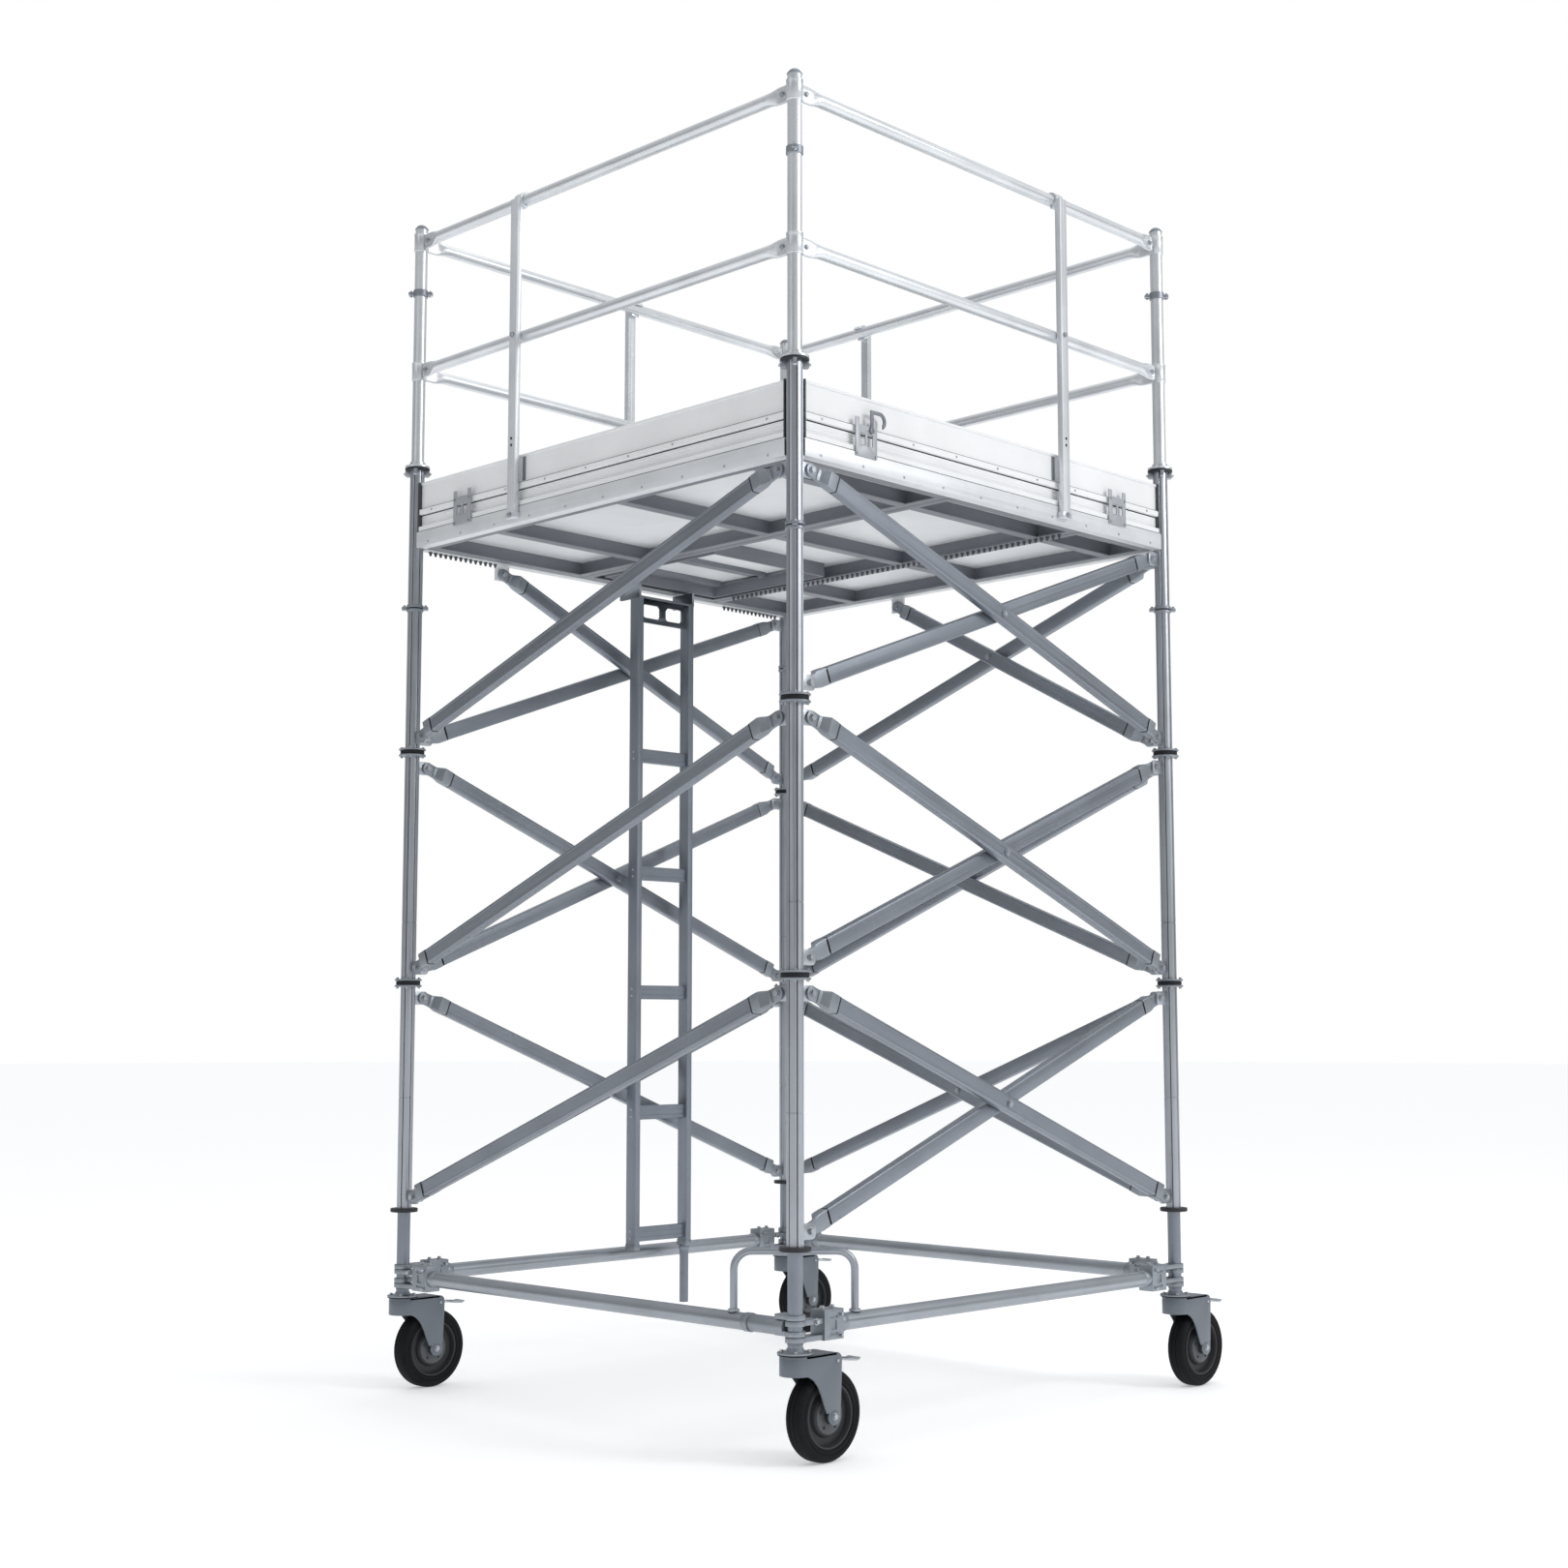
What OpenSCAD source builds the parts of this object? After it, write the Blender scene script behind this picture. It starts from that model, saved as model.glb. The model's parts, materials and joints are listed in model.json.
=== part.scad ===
// Mobile tower scaffold: four posts on swivel castors, scissor braces, a boarded deck
// with a trapdoor, toe boards and guardrails. Millimetres, +Z up, floor at z = 0.

/* [Tower] */
// Distance between post centres, both ways
tower_w = 1800; // [1700:10:1900]
// Outer diameter of the standards and base ledgers
post_d = 48.3; // [47:0.1:49]
// Outer diameter of the base tubes and guard posts
slim_d = 42.4; // [41:0.1:43]
// Wall of every round tube
tube_wall = 3.2; // [2.5:0.1:4]

/* [Levels] */
// Centre of the base ledgers above the floor
ledger_z = 370; // [365:1:385]
// Foot of the first standard
ring_1_z = 576; // [570:1:590]
// Joint between the first and second standard
ring_2_z = 1328; // [1300:1:1350]
// Joint between the second and third standard
ring_3_z = 2102; // [2080:1:2120]
// Underside of the deck beams
beam_z = 2800; // [2780:1:2805]
// Joint between the third standard and the guard post
ring_4_z = 3081; // [3070:1:3100]
// Centre of the middle guardrail
mid_rail_z = 3420; // [3400:1:3450]
// Centre of the top guardrail
top_rail_z = 3878; // [3850:1:3885]

/* [Braces] */
// Height of the brace box section
brace_h = 50; // [40:1:50]
// Thickness of the brace box section
brace_t = 30; // [20:1:30]
// Wall of the brace box section
brace_wall = 2.5; // [2:0.5:4]

/* [Deck] */
// Height of the deck beams
beam_h = 53; // [50:1:55]
// Width of the deck beams
beam_w = 35; // [30:1:35]
// Thickness of the deck sheet
sheet_t = 8; // [6:1:10]
// Height of the toe boards
toe_h = 173; // [165:1:175]
// Length of the trapdoor opening, front to back
hatch_l = 560; // [500:10:570]
// Width of the trapdoor opening
hatch_w = 534; // [480:2:540]

/* [Ladder] */
// Distance between the stile centres
ladder_w = 250; // [230:5:280]
// Distance from rung to rung
rung_pitch = 430; // [420:1:440]

/* [Castors] */
// Wheel diameter over the tyre
wheel_d = 254; // [250:1:256]
// Distance of the wheel axle behind the swivel axis
castor_trail = 110; // [105:1:112]
// Width of the tyre
tyre_w = 60; // [50:1:62]

/* [Hidden] */
$fn = 48;

half = tower_w / 2;
post_r = post_d / 2;
slim_r = slim_d / 2;
wheel_r = wheel_d / 2;
ring_r = 45;
eps = 0.5;
// The castors trail to +X, so the box over everything is not centred on the posts
centre_shift = (castor_trail + wheel_r - ring_r) / 2;

// Corners and faces, counted anticlockwise from the front left post and the front face
CORNERS = [0, 1, 2, 3];
FACES = [0, 1, 2, 3];
FRONT = 0;
RIGHT = 1;
REAR = 2;
LEFT = 3;
LIFTS = [0, 1, 2];

// Brace ends: a pin on a lug beside each post, above the lower ring or under the upper one
lug_reach = 58;
lug_t = 8;
lug_h = 44;
pin_r = 6;
pin_play = 0.25;
lug_rise = 50;
lug_drop = 35;
lift_low = [ring_1_z + lug_rise, ring_2_z + lug_rise, ring_3_z + lug_rise];
lift_high = [ring_2_z - lug_rise, ring_3_z - lug_rise, beam_z - lug_drop];
pin_u = half - lug_reach;
// The top braces of the right and rear faces hang on the deck beam, short of the post
beam_pin_u = [pin_u, 300, 530, pin_u];

// Deck
deck_z = beam_z + beam_h;
deck_top = deck_z + sheet_t;
side_gap = 7;
corner_cut = 32;
panel_split_left = -188;
panel_split_right = 476;
panel_gap = 4;
rail_w = 30;
rib_w = 40;
rib_t = 4;
rib_y = [-700, -100];
side_rib_y = [-700, -100, 500];
hatch_x = 144;
hatch_y = 520;
hatch_ledge = 12;
hatch_wall = 8;
door_play = 4;
knuckle_r = 6;
knuckle_l = 60;
hinge_pin_r = 3;
hinge_x = hatch_x - hatch_w / 2 + 2;
hinge_z = deck_top + knuckle_r;
catch_x = hatch_x + hatch_w / 2 - 60;
catch_z = deck_z - 24;

// Toe boards, guardrails and stanchions
toe_z = deck_z;
toe_end = half - corner_cut;
bracket_u = 620;
rail_r = 19;
sleeve_r = 25;
cap_z = top_rail_z + 47;
stanchion_u = [320, 486, -90, -340];
stanchion_w = 35;
stanchion_t = 20;
stanchion_in = rail_r + 0.2;
collar_4_z = 2595;
collar_5_z = 3697;
latch_u = -600;
latch_z = toe_z + 118;

// Ladder
ladder_x = 145;
ladder_y = half - 100;
stile_w = 25;
stile_d = 50;
ladder_foot_z = ledger_z + 50;
ladder_head_z = beam_z - 55;
rung_count = 5;
rung_h = 50;

// Castors
stem_z = 307;
fork_top = stem_z - 8.4;
fork_half_w = 44;
fork_t = 5;
kingpin_r = 8;
axle_r = 8;
run_play = 0.06;
rim_r = 90;
pedal_x = castor_trail + 12;
pedal_z = wheel_d + 22;
pedal_r = 5;

// Places
module placed() {
    translate([-centre_shift, 0, 0]) children();
}

module at_corner(k) {
    placed() rotate([0, 0, 90 * k]) translate([-half, -half, 0]) children();
}

// On a face x runs along it, -y points outwards
module on_face(k) {
    placed() rotate([0, 0, 90 * k]) translate([0, -half, 0]) children();
}

// A castor keeps its own heading whatever corner it stands on
module at_castor(k) {
    x = (k == 0 || k == 3) ? -half : half;
    y = (k == 0 || k == 1) ? -half : half;
    placed() translate([x, y, 0]) children();
}

// Basic shapes
module tube(r, h, wall = tube_wall) {
    difference() {
        cylinder(r = r, h = h);
        translate([0, 0, -1]) cylinder(r = r - wall, h = h + 2);
    }
}

// A closed block given by its low and high corners
module block(low, high) {
    translate(low) cube(high - low);
}

// A tube along x, centred
module rail(r, length) {
    translate([-length / 2, 0, 0]) rotate([0, 90, 0]) tube(r, length);
}

// A cylinder along y from y0 to y1
module cross_bar(r, y0, y1) {
    translate([0, y1, 0]) rotate([90, 0, 0]) cylinder(r = r, h = y1 - y0);
}

// An outline in the y-z plane, extruded along x from -length/2 to length/2
module along_face(length) {
    translate([-length / 2, 0, 0]) rotate([90, 0, 90]) linear_extrude(length) children();
}

// Lugs for the brace pins, pointing along x
module lug(z) {
    difference() {
        block([0, -lug_t / 2, z - lug_h / 2], [lug_reach + 20, lug_t / 2, z + lug_h / 2]);
        translate([lug_reach, 0, z]) cross_bar(pin_r + pin_play, -lug_t, lug_t);
    }
}

module flange(z, h = 6) {
    translate([0, 0, z]) cylinder(r = ring_r, h = h);
}

// A small collar with a lug to each side
module collar(z, r) {
    translate([0, 0, z - 12]) cylinder(r = r + 4, h = 24);
    for (a = [45, 225]) {
        rotate([0, 0, a]) block([0, -8, z - 6], [r + 20, 8, z + 6]);
    }
}

// One length of standard: solid outline, bored through by the caller
module section_outline(k, lift) {
    z0 = [ring_1_z, ring_2_z, ring_3_z][lift];
    z1 = [ring_2_z, ring_3_z, ring_4_z][lift];
    translate([0, 0, z0]) cylinder(r = post_r, h = z1 - z0);
    if (lift == 0) {
        flange(z0, 12);
    } else {
        flange(z0 + 7);
    }
    if (lift == 2) {
        translate([0, 0, z1 - 8]) cylinder(r = ring_r - 3, h = 8);
        for (a = [45:90:315]) {
            rotate([0, 0, a]) block([post_r - 1, -6, z1 - 30], [ring_r - 4, 6, z1 - 7]);
        }
        collar(collar_4_z, post_r);
    } else {
        flange(z1 - 13);
    }
    previous = (k + 3) % 4;
    lug(lift_low[lift]);
    if (k != LEFT) lug(lift_high[lift]);
    if (previous != LEFT) rotate([0, 0, 90]) lug(lift_low[lift]);
    if (lift < 2 || beam_pin_u[previous] == pin_u) rotate([0, 0, 90]) lug(lift_high[lift]);
}

module standard(k) {
    color([0.62, 0.65, 0.69]) at_corner(k) {
        for (lift = LIFTS) {
            difference() {
                section_outline(k, lift);
                translate([0, 0, ring_1_z - 1]) cylinder(r = post_r - tube_wall, h = ring_4_z - ring_1_z + 2);
            }
        }
    }
}

module base_tubes() {
    color([0.58, 0.61, 0.66]) for (k = CORNERS) at_corner(k) {
        translate([0, 0, stem_z]) tube(slim_r, ring_1_z - stem_z);
    }
}

module spigots() {
    color([0.5, 0.52, 0.55]) for (k = CORNERS) at_corner(k) {
        for (z = [ring_1_z, ring_4_z]) {
            translate([0, 0, z - 90]) tube(slim_r - tube_wall - eps, 180);
        }
        for (z = [ring_2_z, ring_3_z]) {
            translate([0, 0, z - 120]) tube(post_r - tube_wall - eps, 240);
        }
    }
}

module guard_post(k) {
    color([0.8, 0.82, 0.85]) at_corner(k) difference() {
        union() {
            translate([0, 0, ring_4_z]) cylinder(r = slim_r, h = cap_z - ring_4_z);
            translate([0, 0, ring_4_z]) cylinder(r = ring_r - 3, h = 7);
            translate([0, 0, ring_4_z + 7]) cylinder(r = slim_r + 5, h = 14);
            for (z = [mid_rail_z, top_rail_z]) {
                translate([0, 0, z - 32]) cylinder(r = sleeve_r, h = 64);
            }
            collar(collar_5_z, slim_r);
        }
        translate([0, 0, ring_4_z - 1]) cylinder(r = slim_r - tube_wall, h = cap_z - ring_4_z + 2);
    }
}

// Domed plugs in the tops of the guard posts
module post_caps() {
    dome_h = 14;
    dome_r = (slim_r * slim_r + dome_h * dome_h) / (2 * dome_h);
    color([0.5, 0.54, 0.58]) for (k = CORNERS) at_corner(k) {
        translate([0, 0, cap_z - 24]) cylinder(r = slim_r - tube_wall - 0.1, h = 24);
        translate([0, 0, cap_z]) cylinder(r = slim_r + 1.5, h = 4);
        translate([0, 0, cap_z + 4]) intersection() {
            translate([0, 0, dome_h - dome_r]) sphere(r = dome_r);
            cylinder(r = slim_r, h = dome_h + 1);
        }
    }
}

// Base frame
coupler_reach = 165;
module base_ledgers() {
    color([0.66, 0.69, 0.73]) for (k = FACES) on_face(k) {
        translate([0, 0, ledger_z]) rail(post_r, tower_w - 2 * coupler_reach);
    }
}

// The block at a ledger's end, with the knuckles that close round the base tube
module coupler(low) {
    knuckle_z = low ? [ledger_z - 38, ledger_z + 6] : [ledger_z - 22, ledger_z + 22];
    difference() {
        union() {
            block([88, -27, ledger_z - 40], [coupler_reach, 27, ledger_z + 42]);
            for (z = knuckle_z) {
                translate([0, 0, z]) cylinder(r = slim_r + 7, h = 14);
                block([0, -20, z], [90, 20, z + 14]);
            }
        }
        translate([0, 0, ledger_z - 60]) cylinder(r = slim_r + 0.2, h = 120);
        for (side = [-1, 1]) {
            translate([126, side * 27, ledger_z + 22]) cube([30, 8, 8], center = true);
            translate([126, side * 27, ledger_z]) cube([22, 8, 26], center = true);
            translate([126, side * 27, ledger_z - 24]) cube([30, 8, 6], center = true);
        }
    }
}

// The front end of the left ledger has a plain sleeve and no block
module ledger_couplers() {
    color([0.6, 0.63, 0.67]) for (k = CORNERS) at_corner(k) {
        coupler(true);
        rotate([0, 0, 90]) mirror([0, 1, 0]) {
            if (k != 0) coupler(false);
            if (k == 0) translate([0, 0, ledger_z]) difference() {
                union() {
                    translate([slim_r + 8, 0, 0]) rotate([0, 90, 0]) cylinder(r = post_r, h = coupler_reach - slim_r - 8);
                    for (z = [-22, 22]) {
                        translate([0, 0, z]) cylinder(r = slim_r + 7, h = 14);
                        block([0, -20, z], [60, 20, z + 14]);
                    }
                }
                translate([0, 0, -60]) cylinder(r = slim_r + 0.2, h = 120);
            }
        }
    }
}

// Braces. On every face the rising ones lie inside the face plane, the falling ones outside
function has_falling(k) = k != LEFT;
function rise_end(k, lift) = lift == 2 ? beam_pin_u[k] : pin_u;
// Where a rising and a falling brace cross, along the face
function cross_u(k, lift) =
    let (low = lift_low[lift], high = lift_high[lift], span = rise_end(k, lift) + pin_u)
    let (fall = 2 * pin_u)
    -pin_u + (high - low) / ((high - low) / span + (high - low) / fall);
function cross_z(k, lift) =
    lift_high[lift] - (lift_high[lift] - lift_low[lift]) * (cross_u(k, lift) + pin_u) / (2 * pin_u);

// A brace from pin to pin with its box section on the outer side, y from -lug_t/2 outwards
module brace(u0, z0, u1, z1, cross_at) {
    run = u1 - u0;
    rise = z1 - z0;
    length = sqrt(run * run + rise * rise);
    head = 46;
    y0 = -lug_t / 2;
    translate([u0, 0, z0]) rotate([0, -atan2(rise, run), 0]) difference() {
        union() {
            block([head, y0 - brace_t, -brace_h / 2], [length - head, y0, brace_h / 2]);
            block([0, y0 - 8, -20], [length, y0, 20]);
            for (x = [0, length]) {
                translate([x, 0, 0]) cross_bar(20, y0 - 8, y0);
            }
        }
        block([head + 4, y0 - brace_t + brace_wall, -brace_h / 2 + brace_wall],
              [length - head - 4, y0 - brace_wall, brace_h / 2 - brace_wall]);
        for (x = cross_at > 0 ? [0, length, cross_at] : [0, length]) {
            translate([x, 0, 0]) cross_bar(pin_r + pin_play, y0 - brace_t - 1, 1);
        }
    }
}

module face_braces(k) {
    color([0.56, 0.59, 0.64]) on_face(k) for (lift = LIFTS) {
        low = lift_low[lift];
        high = lift_high[lift];
        end = rise_end(k, lift);
        du = cross_u(k, lift);
        dz = cross_z(k, lift);
        if (has_falling(k)) {
            brace(-pin_u, high, pin_u, low, norm([du + pin_u, high - dz]));
            mirror([0, 1, 0]) brace(-pin_u, low, end, high, norm([du + pin_u, dz - low]));
        } else {
            brace(-pin_u, low, end, high, 0);
        }
    }
}

// A bolt through a lug and a brace head on its outer side
module end_pin() {
    cross_bar(pin_r, -lug_t / 2 - 14, lug_t / 2 + 7);
    cross_bar(11, -lug_t / 2 - 15, -lug_t / 2 - 8);
    cross_bar(11, lug_t / 2, lug_t / 2 + 8);
}

// The pivot of a crossed pair, with a spacer between the two boxes
module cross_pin() {
    reach = lug_t / 2 + brace_t;
    cross_bar(pin_r, -reach - 5, reach + 5);
    cross_bar(11, -reach - 6, -reach);
    cross_bar(11, reach, reach + 6);
    cross_bar(15, -lug_t / 2, lug_t / 2);
}

module brace_pins() {
    color([0.45, 0.47, 0.5]) for (k = FACES) on_face(k) for (lift = LIFTS) {
        low = lift_low[lift];
        high = lift_high[lift];
        if (has_falling(k)) {
            translate([-pin_u, 0, high]) end_pin();
            translate([pin_u, 0, low]) end_pin();
            translate([-pin_u, 0, low]) mirror([0, 1, 0]) end_pin();
            translate([rise_end(k, lift), 0, high]) mirror([0, 1, 0]) end_pin();
            translate([cross_u(k, lift), 0, cross_z(k, lift)]) cross_pin();
        } else {
            translate([-pin_u, 0, low]) end_pin();
            translate([pin_u, 0, high]) end_pin();
        }
    }
}

// Deck
module deck_beams() {
    length = tower_w - 50;
    color([0.72, 0.74, 0.77]) for (k = FACES) on_face(k) difference() {
        union() {
            block([-length / 2, -beam_w / 2, beam_z], [length / 2, beam_w / 2, deck_z]);
            if (beam_pin_u[k] != pin_u) {
                translate([beam_pin_u[k], 0, 0]) block([-30, -lug_t / 2, beam_z - lug_drop - 22], [30, lug_t / 2, beam_z + 1]);
            }
        }
        block([-length / 2 - 1, -beam_w / 2 + 3, beam_z + 3], [length / 2 + 1, beam_w / 2 - 3, deck_z - 3]);
        translate([beam_pin_u[k], 0, beam_z - lug_drop]) cross_bar(pin_r + pin_play, -lug_t, lug_t);
    }
}

// A panel's sheet, with the corners cut back from the posts where it reaches a side
module sheet(x0, x1) {
    edge = half - side_gap;
    inner = half - corner_cut;
    block([max(x0, -inner), -edge, deck_z], [min(x1, inner), edge, deck_top]);
    block([x0, -inner, deck_z], [x1, inner, deck_top]);
}

// Sheet, an angle along each side with its flange inwards, and cross ribs of T section
module panel(x0, x1, ribs) {
    end = half - beam_w / 2 - 2.5;
    low = beam_z + 3;
    rail_x0 = max(x0, -end);
    rail_x1 = min(x1, end);
    sheet(x0, x1);
    block([rail_x0, -end, low], [rail_x0 + rib_t, end, deck_z + 1]);
    block([rail_x1 - rib_t, -end, low], [rail_x1, end, deck_z + 1]);
    block([rail_x0, -end, low], [rail_x0 + rail_w, end, low + rib_t]);
    block([rail_x1 - rail_w, -end, low], [rail_x1, end, low + rib_t]);
    for (y = concat([-end + rib_w / 2, end - rib_w / 2], ribs)) {
        block([rail_x0, y - rib_w / 2, low], [rail_x1, y + rib_w / 2, low + rib_t]);
        block([rail_x0, y - rib_t / 2, low], [rail_x1, y + rib_t / 2, deck_z + 1]);
    }
}

module deck_panels() {
    edge = half - side_gap;
    color([0.88, 0.89, 0.9]) placed() {
        panel(-edge, panel_split_left - panel_gap / 2, side_rib_y);
        panel(panel_split_right + panel_gap / 2, edge, side_rib_y);
    }
}

// The middle panel, with the trapdoor opening, its ledge and the fixed hinge knuckles
module hatch_panel() {
    color([0.88, 0.89, 0.9]) placed() difference() {
        union() {
            panel(panel_split_left + panel_gap / 2, panel_split_right - panel_gap / 2, rib_y);
            translate([hatch_x, hatch_y, 0]) {
                block([-hatch_w / 2 - hatch_wall, -hatch_l / 2 - hatch_wall, beam_z + 3],
                      [hatch_w / 2 + hatch_wall, hatch_l / 2 + hatch_wall, deck_z + 1]);
            }
            hinge_knuckles([-150, 90], -1);
        }
        translate([hatch_x, hatch_y, 0]) {
            block([-hatch_w / 2, -hatch_l / 2, deck_z - 0.4], [hatch_w / 2, hatch_l / 2, deck_top + 1]);
            block([-hatch_w / 2 + hatch_ledge, -hatch_l / 2 + hatch_ledge, beam_z],
                  [hatch_w / 2 - hatch_ledge, hatch_l / 2 - hatch_ledge, deck_top + 1]);
            block([-hatch_w / 2, -hatch_l / 2, beam_z], [hatch_w / 2, hatch_l / 2, deck_z - hatch_ledge]);
        }
        translate([hinge_x, hatch_y, hinge_z]) cross_bar(hinge_pin_r + 0.02, -hatch_l / 2, hatch_l / 2);
    }
}

// Knuckles on the deck's top face; side is -1 for the fixed ones and 1 for the door's
module hinge_knuckles(places, side) {
    translate([hinge_x, hatch_y, hinge_z]) for (y = places) {
        translate([0, y, 0]) {
            cross_bar(knuckle_r, 0, knuckle_l);
            block([side > 0 ? 0 : -28, 0, -knuckle_r], [side > 0 ? 28 : 0, knuckle_l, -knuckle_r + 3]);
        }
    }
}

module trapdoor() {
    w = hatch_w / 2 - door_play;
    l = hatch_l / 2 - door_play;
    rib_in = hatch_ledge + 8;
    color([0.8, 0.81, 0.83]) placed() difference() {
        union() {
            translate([hatch_x, hatch_y, 0]) {
                block([-w, -l, deck_z], [w, l, deck_top]);
                for (y = [-l + rib_in, -rib_w / 2, l - rib_in - rib_w]) {
                    block([-w + rib_in, y, deck_z - 18], [w - rib_in, y + rib_w, deck_z + 1]);
                }
            }
            hinge_knuckles([-150 + knuckle_l + 1, 90 - knuckle_l - 1], 1);
        }
        translate([hinge_x, hatch_y, hinge_z]) {
            cross_bar(hinge_pin_r + run_play, -hatch_l / 2, hatch_l / 2);
            for (y = [-150, 90]) {
                translate([0, y - 0.5, 0]) cross_bar(knuckle_r + 0.4, 0, knuckle_l + 1);
            }
        }
        translate([catch_x, hatch_y, catch_z]) cylinder(r = 5 + run_play, h = 40);
        translate([hatch_x + w - 60, hatch_y, deck_z + 3]) block([-70, -14, 0], [-20, 14, sheet_t]);
    }
}

module trapdoor_hinge_pin() {
    color([0.4, 0.42, 0.45]) placed() translate([hinge_x, hatch_y, hinge_z]) {
        cross_bar(hinge_pin_r, -154, 154);
        cross_bar(hinge_pin_r + 2, -157, -151);
        cross_bar(hinge_pin_r + 2, 151, 157);
    }
}

// A turn catch under the door, with its spindle through the door plate
module trapdoor_catch() {
    color([0.35, 0.36, 0.38]) placed() translate([catch_x, hatch_y, 0]) {
        translate([0, 0, catch_z]) cylinder(r = 5, h = deck_top + 1 - catch_z);
        translate([0, 0, catch_z]) cylinder(r = 12, h = 4);
        block([-10, 0, catch_z], [10, 56, catch_z + 4]);
        translate([0, 0, deck_top + 0.5]) cylinder(r = 10, h = 4);
    }
}

// Toe boards: one profile with a plain upright, two ledges and a recessed web
module toe_profile() {
    polygon([[4, 0], [-14, 0], [-14, 19], [0, 19], [0, 60], [-12, 60], [-12, 79],
             [-2, 79], [-2, toe_h - 8], [-6, toe_h - 8], [-6, toe_h - 2], [-4, toe_h],
             [2, toe_h], [4, toe_h - 2]]);
}

module toe_board(k) {
    color([0.9, 0.91, 0.92]) on_face(k) translate([0, 0, toe_z]) along_face(2 * toe_end) toe_profile();
}

// Clip plates over the ledges (one on the left board), and a dark plate at each end of each board
module toe_board_brackets() {
    y0 = -beam_w / 2 - 0.2;
    color([0.5, 0.52, 0.55]) for (k = FACES) on_face(k) {
        for (u = k == LEFT ? [-bracket_u] : [-bracket_u, bracket_u]) {
            translate([u, 0, toe_z]) difference() {
                block([-46, y0 - 4, -12], [46, y0, 104]);
                for (x = [-28, 4]) {
                    block([x, y0 - 5, 22], [x + 24, y0 + 1, 58]);
                }
                block([-30, y0 - 5, 82], [30, y0 + 1, 105]);
                if (k == FRONT && u < 0) {
                    translate([latch_u + bracket_u, 0, latch_z - toe_z - 48]) cross_bar(4.05, y0 - 5, y0 + 1);
                }
            }
        }
        for (side = [-1, 1]) {
            u0 = side > 0 ? toe_end : -toe_end - 5;
            block([u0, -14, toe_z], [u0 + 5, 4, toe_z + toe_h]);
        }
    }
}

// The curved handle that locks the front toe board
module toe_latch() {
    y0 = -beam_w / 2 - 4.6;
    color([0.42, 0.45, 0.49]) on_face(FRONT) translate([latch_u, 0, latch_z - 48]) {
        cross_bar(4, y0, -beam_w / 2);
        cross_bar(9, y0 - 5, y0);
        block([-5, y0 - 5, 0], [5, y0, 62]);
        block([-5, y0 - 5, 52], [35, y0, 62]);
        translate([34, 0, 36]) difference() {
            cross_bar(26, y0 - 5, y0);
            cross_bar(16, y0 - 6, y0 + 1);
            block([-30, y0 - 6, -30], [0, y0 + 1, 30]);
            block([-1, y0 - 6, -30], [13, y0 + 1, 0]);
        }
    }
}

// Guardrails: top and middle rail, each with a flat hook plate at both ends
module guard_rail_tube() {
    reach = half - sleeve_r - 0.5;
    rail(rail_r, 2 * reach - 30);
    for (side = [-1, 1]) {
        translate([side * (reach - 20), 0, 0]) cube([40, 10, 52], center = true);
    }
}

module guardrail(k) {
    color([0.82, 0.84, 0.87]) on_face(k) for (z = [mid_rail_z, top_rail_z]) {
        translate([0, 0, z]) difference() {
            guard_rail_tube();
            rotate([0, 90, 0]) cylinder(r = rail_r - tube_wall - 4, h = tower_w - 160, center = true);
        }
    }
}

// Upright on the outside of the rails: hook over the top rail, shoe on the deck beam
module stanchion() {
    y1 = -stanchion_in;
    y0 = y1 - stanchion_t;
    foot = beam_z + 14;
    difference() {
        union() {
            block([-stanchion_w / 2, y0, foot], [stanchion_w / 2, y1, top_rail_z]);
            block([-stanchion_w / 2 - 5, y0 - 2, foot - 2], [stanchion_w / 2 + 5, -beam_w / 2 - 0.2, foot + 18]);
            translate([0, 0, top_rail_z]) rotate([90, 0, 90]) difference() {
                cylinder(r = stanchion_in + 8, h = stanchion_w, center = true);
                translate([0, -stanchion_in - 9, -stanchion_w]) cube([60, 2 * stanchion_in, 2 * stanchion_w]);
            }
        }
        translate([0, 0, top_rail_z]) rotate([0, 90, 0]) cylinder(r = stanchion_in, h = 90, center = true);
        block([-stanchion_w / 2 + 2.5, y0 + 2.5, foot + 20], [stanchion_w / 2 - 2.5, y1 - 2.5, top_rail_z - 30]);
    }
}

module stanchions() {
    color([0.78, 0.8, 0.83]) for (k = FACES) on_face(k) translate([stanchion_u[k], 0, 0]) stanchion();
}

// Ladder inside the rear face
module ladder_stiles() {
    color([0.55, 0.58, 0.62]) placed() for (side = [-1, 1]) {
        x = ladder_x + side * ladder_w / 2;
        difference() {
            translate([x, ladder_y, 0]) block([-stile_w / 2, -stile_d / 2, ladder_foot_z - 28], [stile_w / 2, stile_d / 2, ladder_head_z]);
            translate([x, ladder_y, 0]) block([-stile_w / 2 + 2.5, -stile_d / 2 + 2.5, ladder_foot_z - 29], [stile_w / 2 - 2.5, stile_d / 2 - 2.5, ladder_head_z + 1]);
        }
        if (side > 0) {
            translate([x, ladder_y, 190]) tube(16, ladder_foot_z - 28 - 190);
        }
    }
}

module ladder_rungs() {
    reach = ladder_w / 2 - stile_w / 2;
    color([0.6, 0.63, 0.67]) placed() for (i = [0:rung_count - 1]) {
        translate([ladder_x, ladder_y, ladder_foot_z + rung_h / 2 + rung_pitch * i]) {
            block([-reach, -12, -rung_h / 2], [reach, 12, rung_h / 2]);
        }
    }
}

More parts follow.
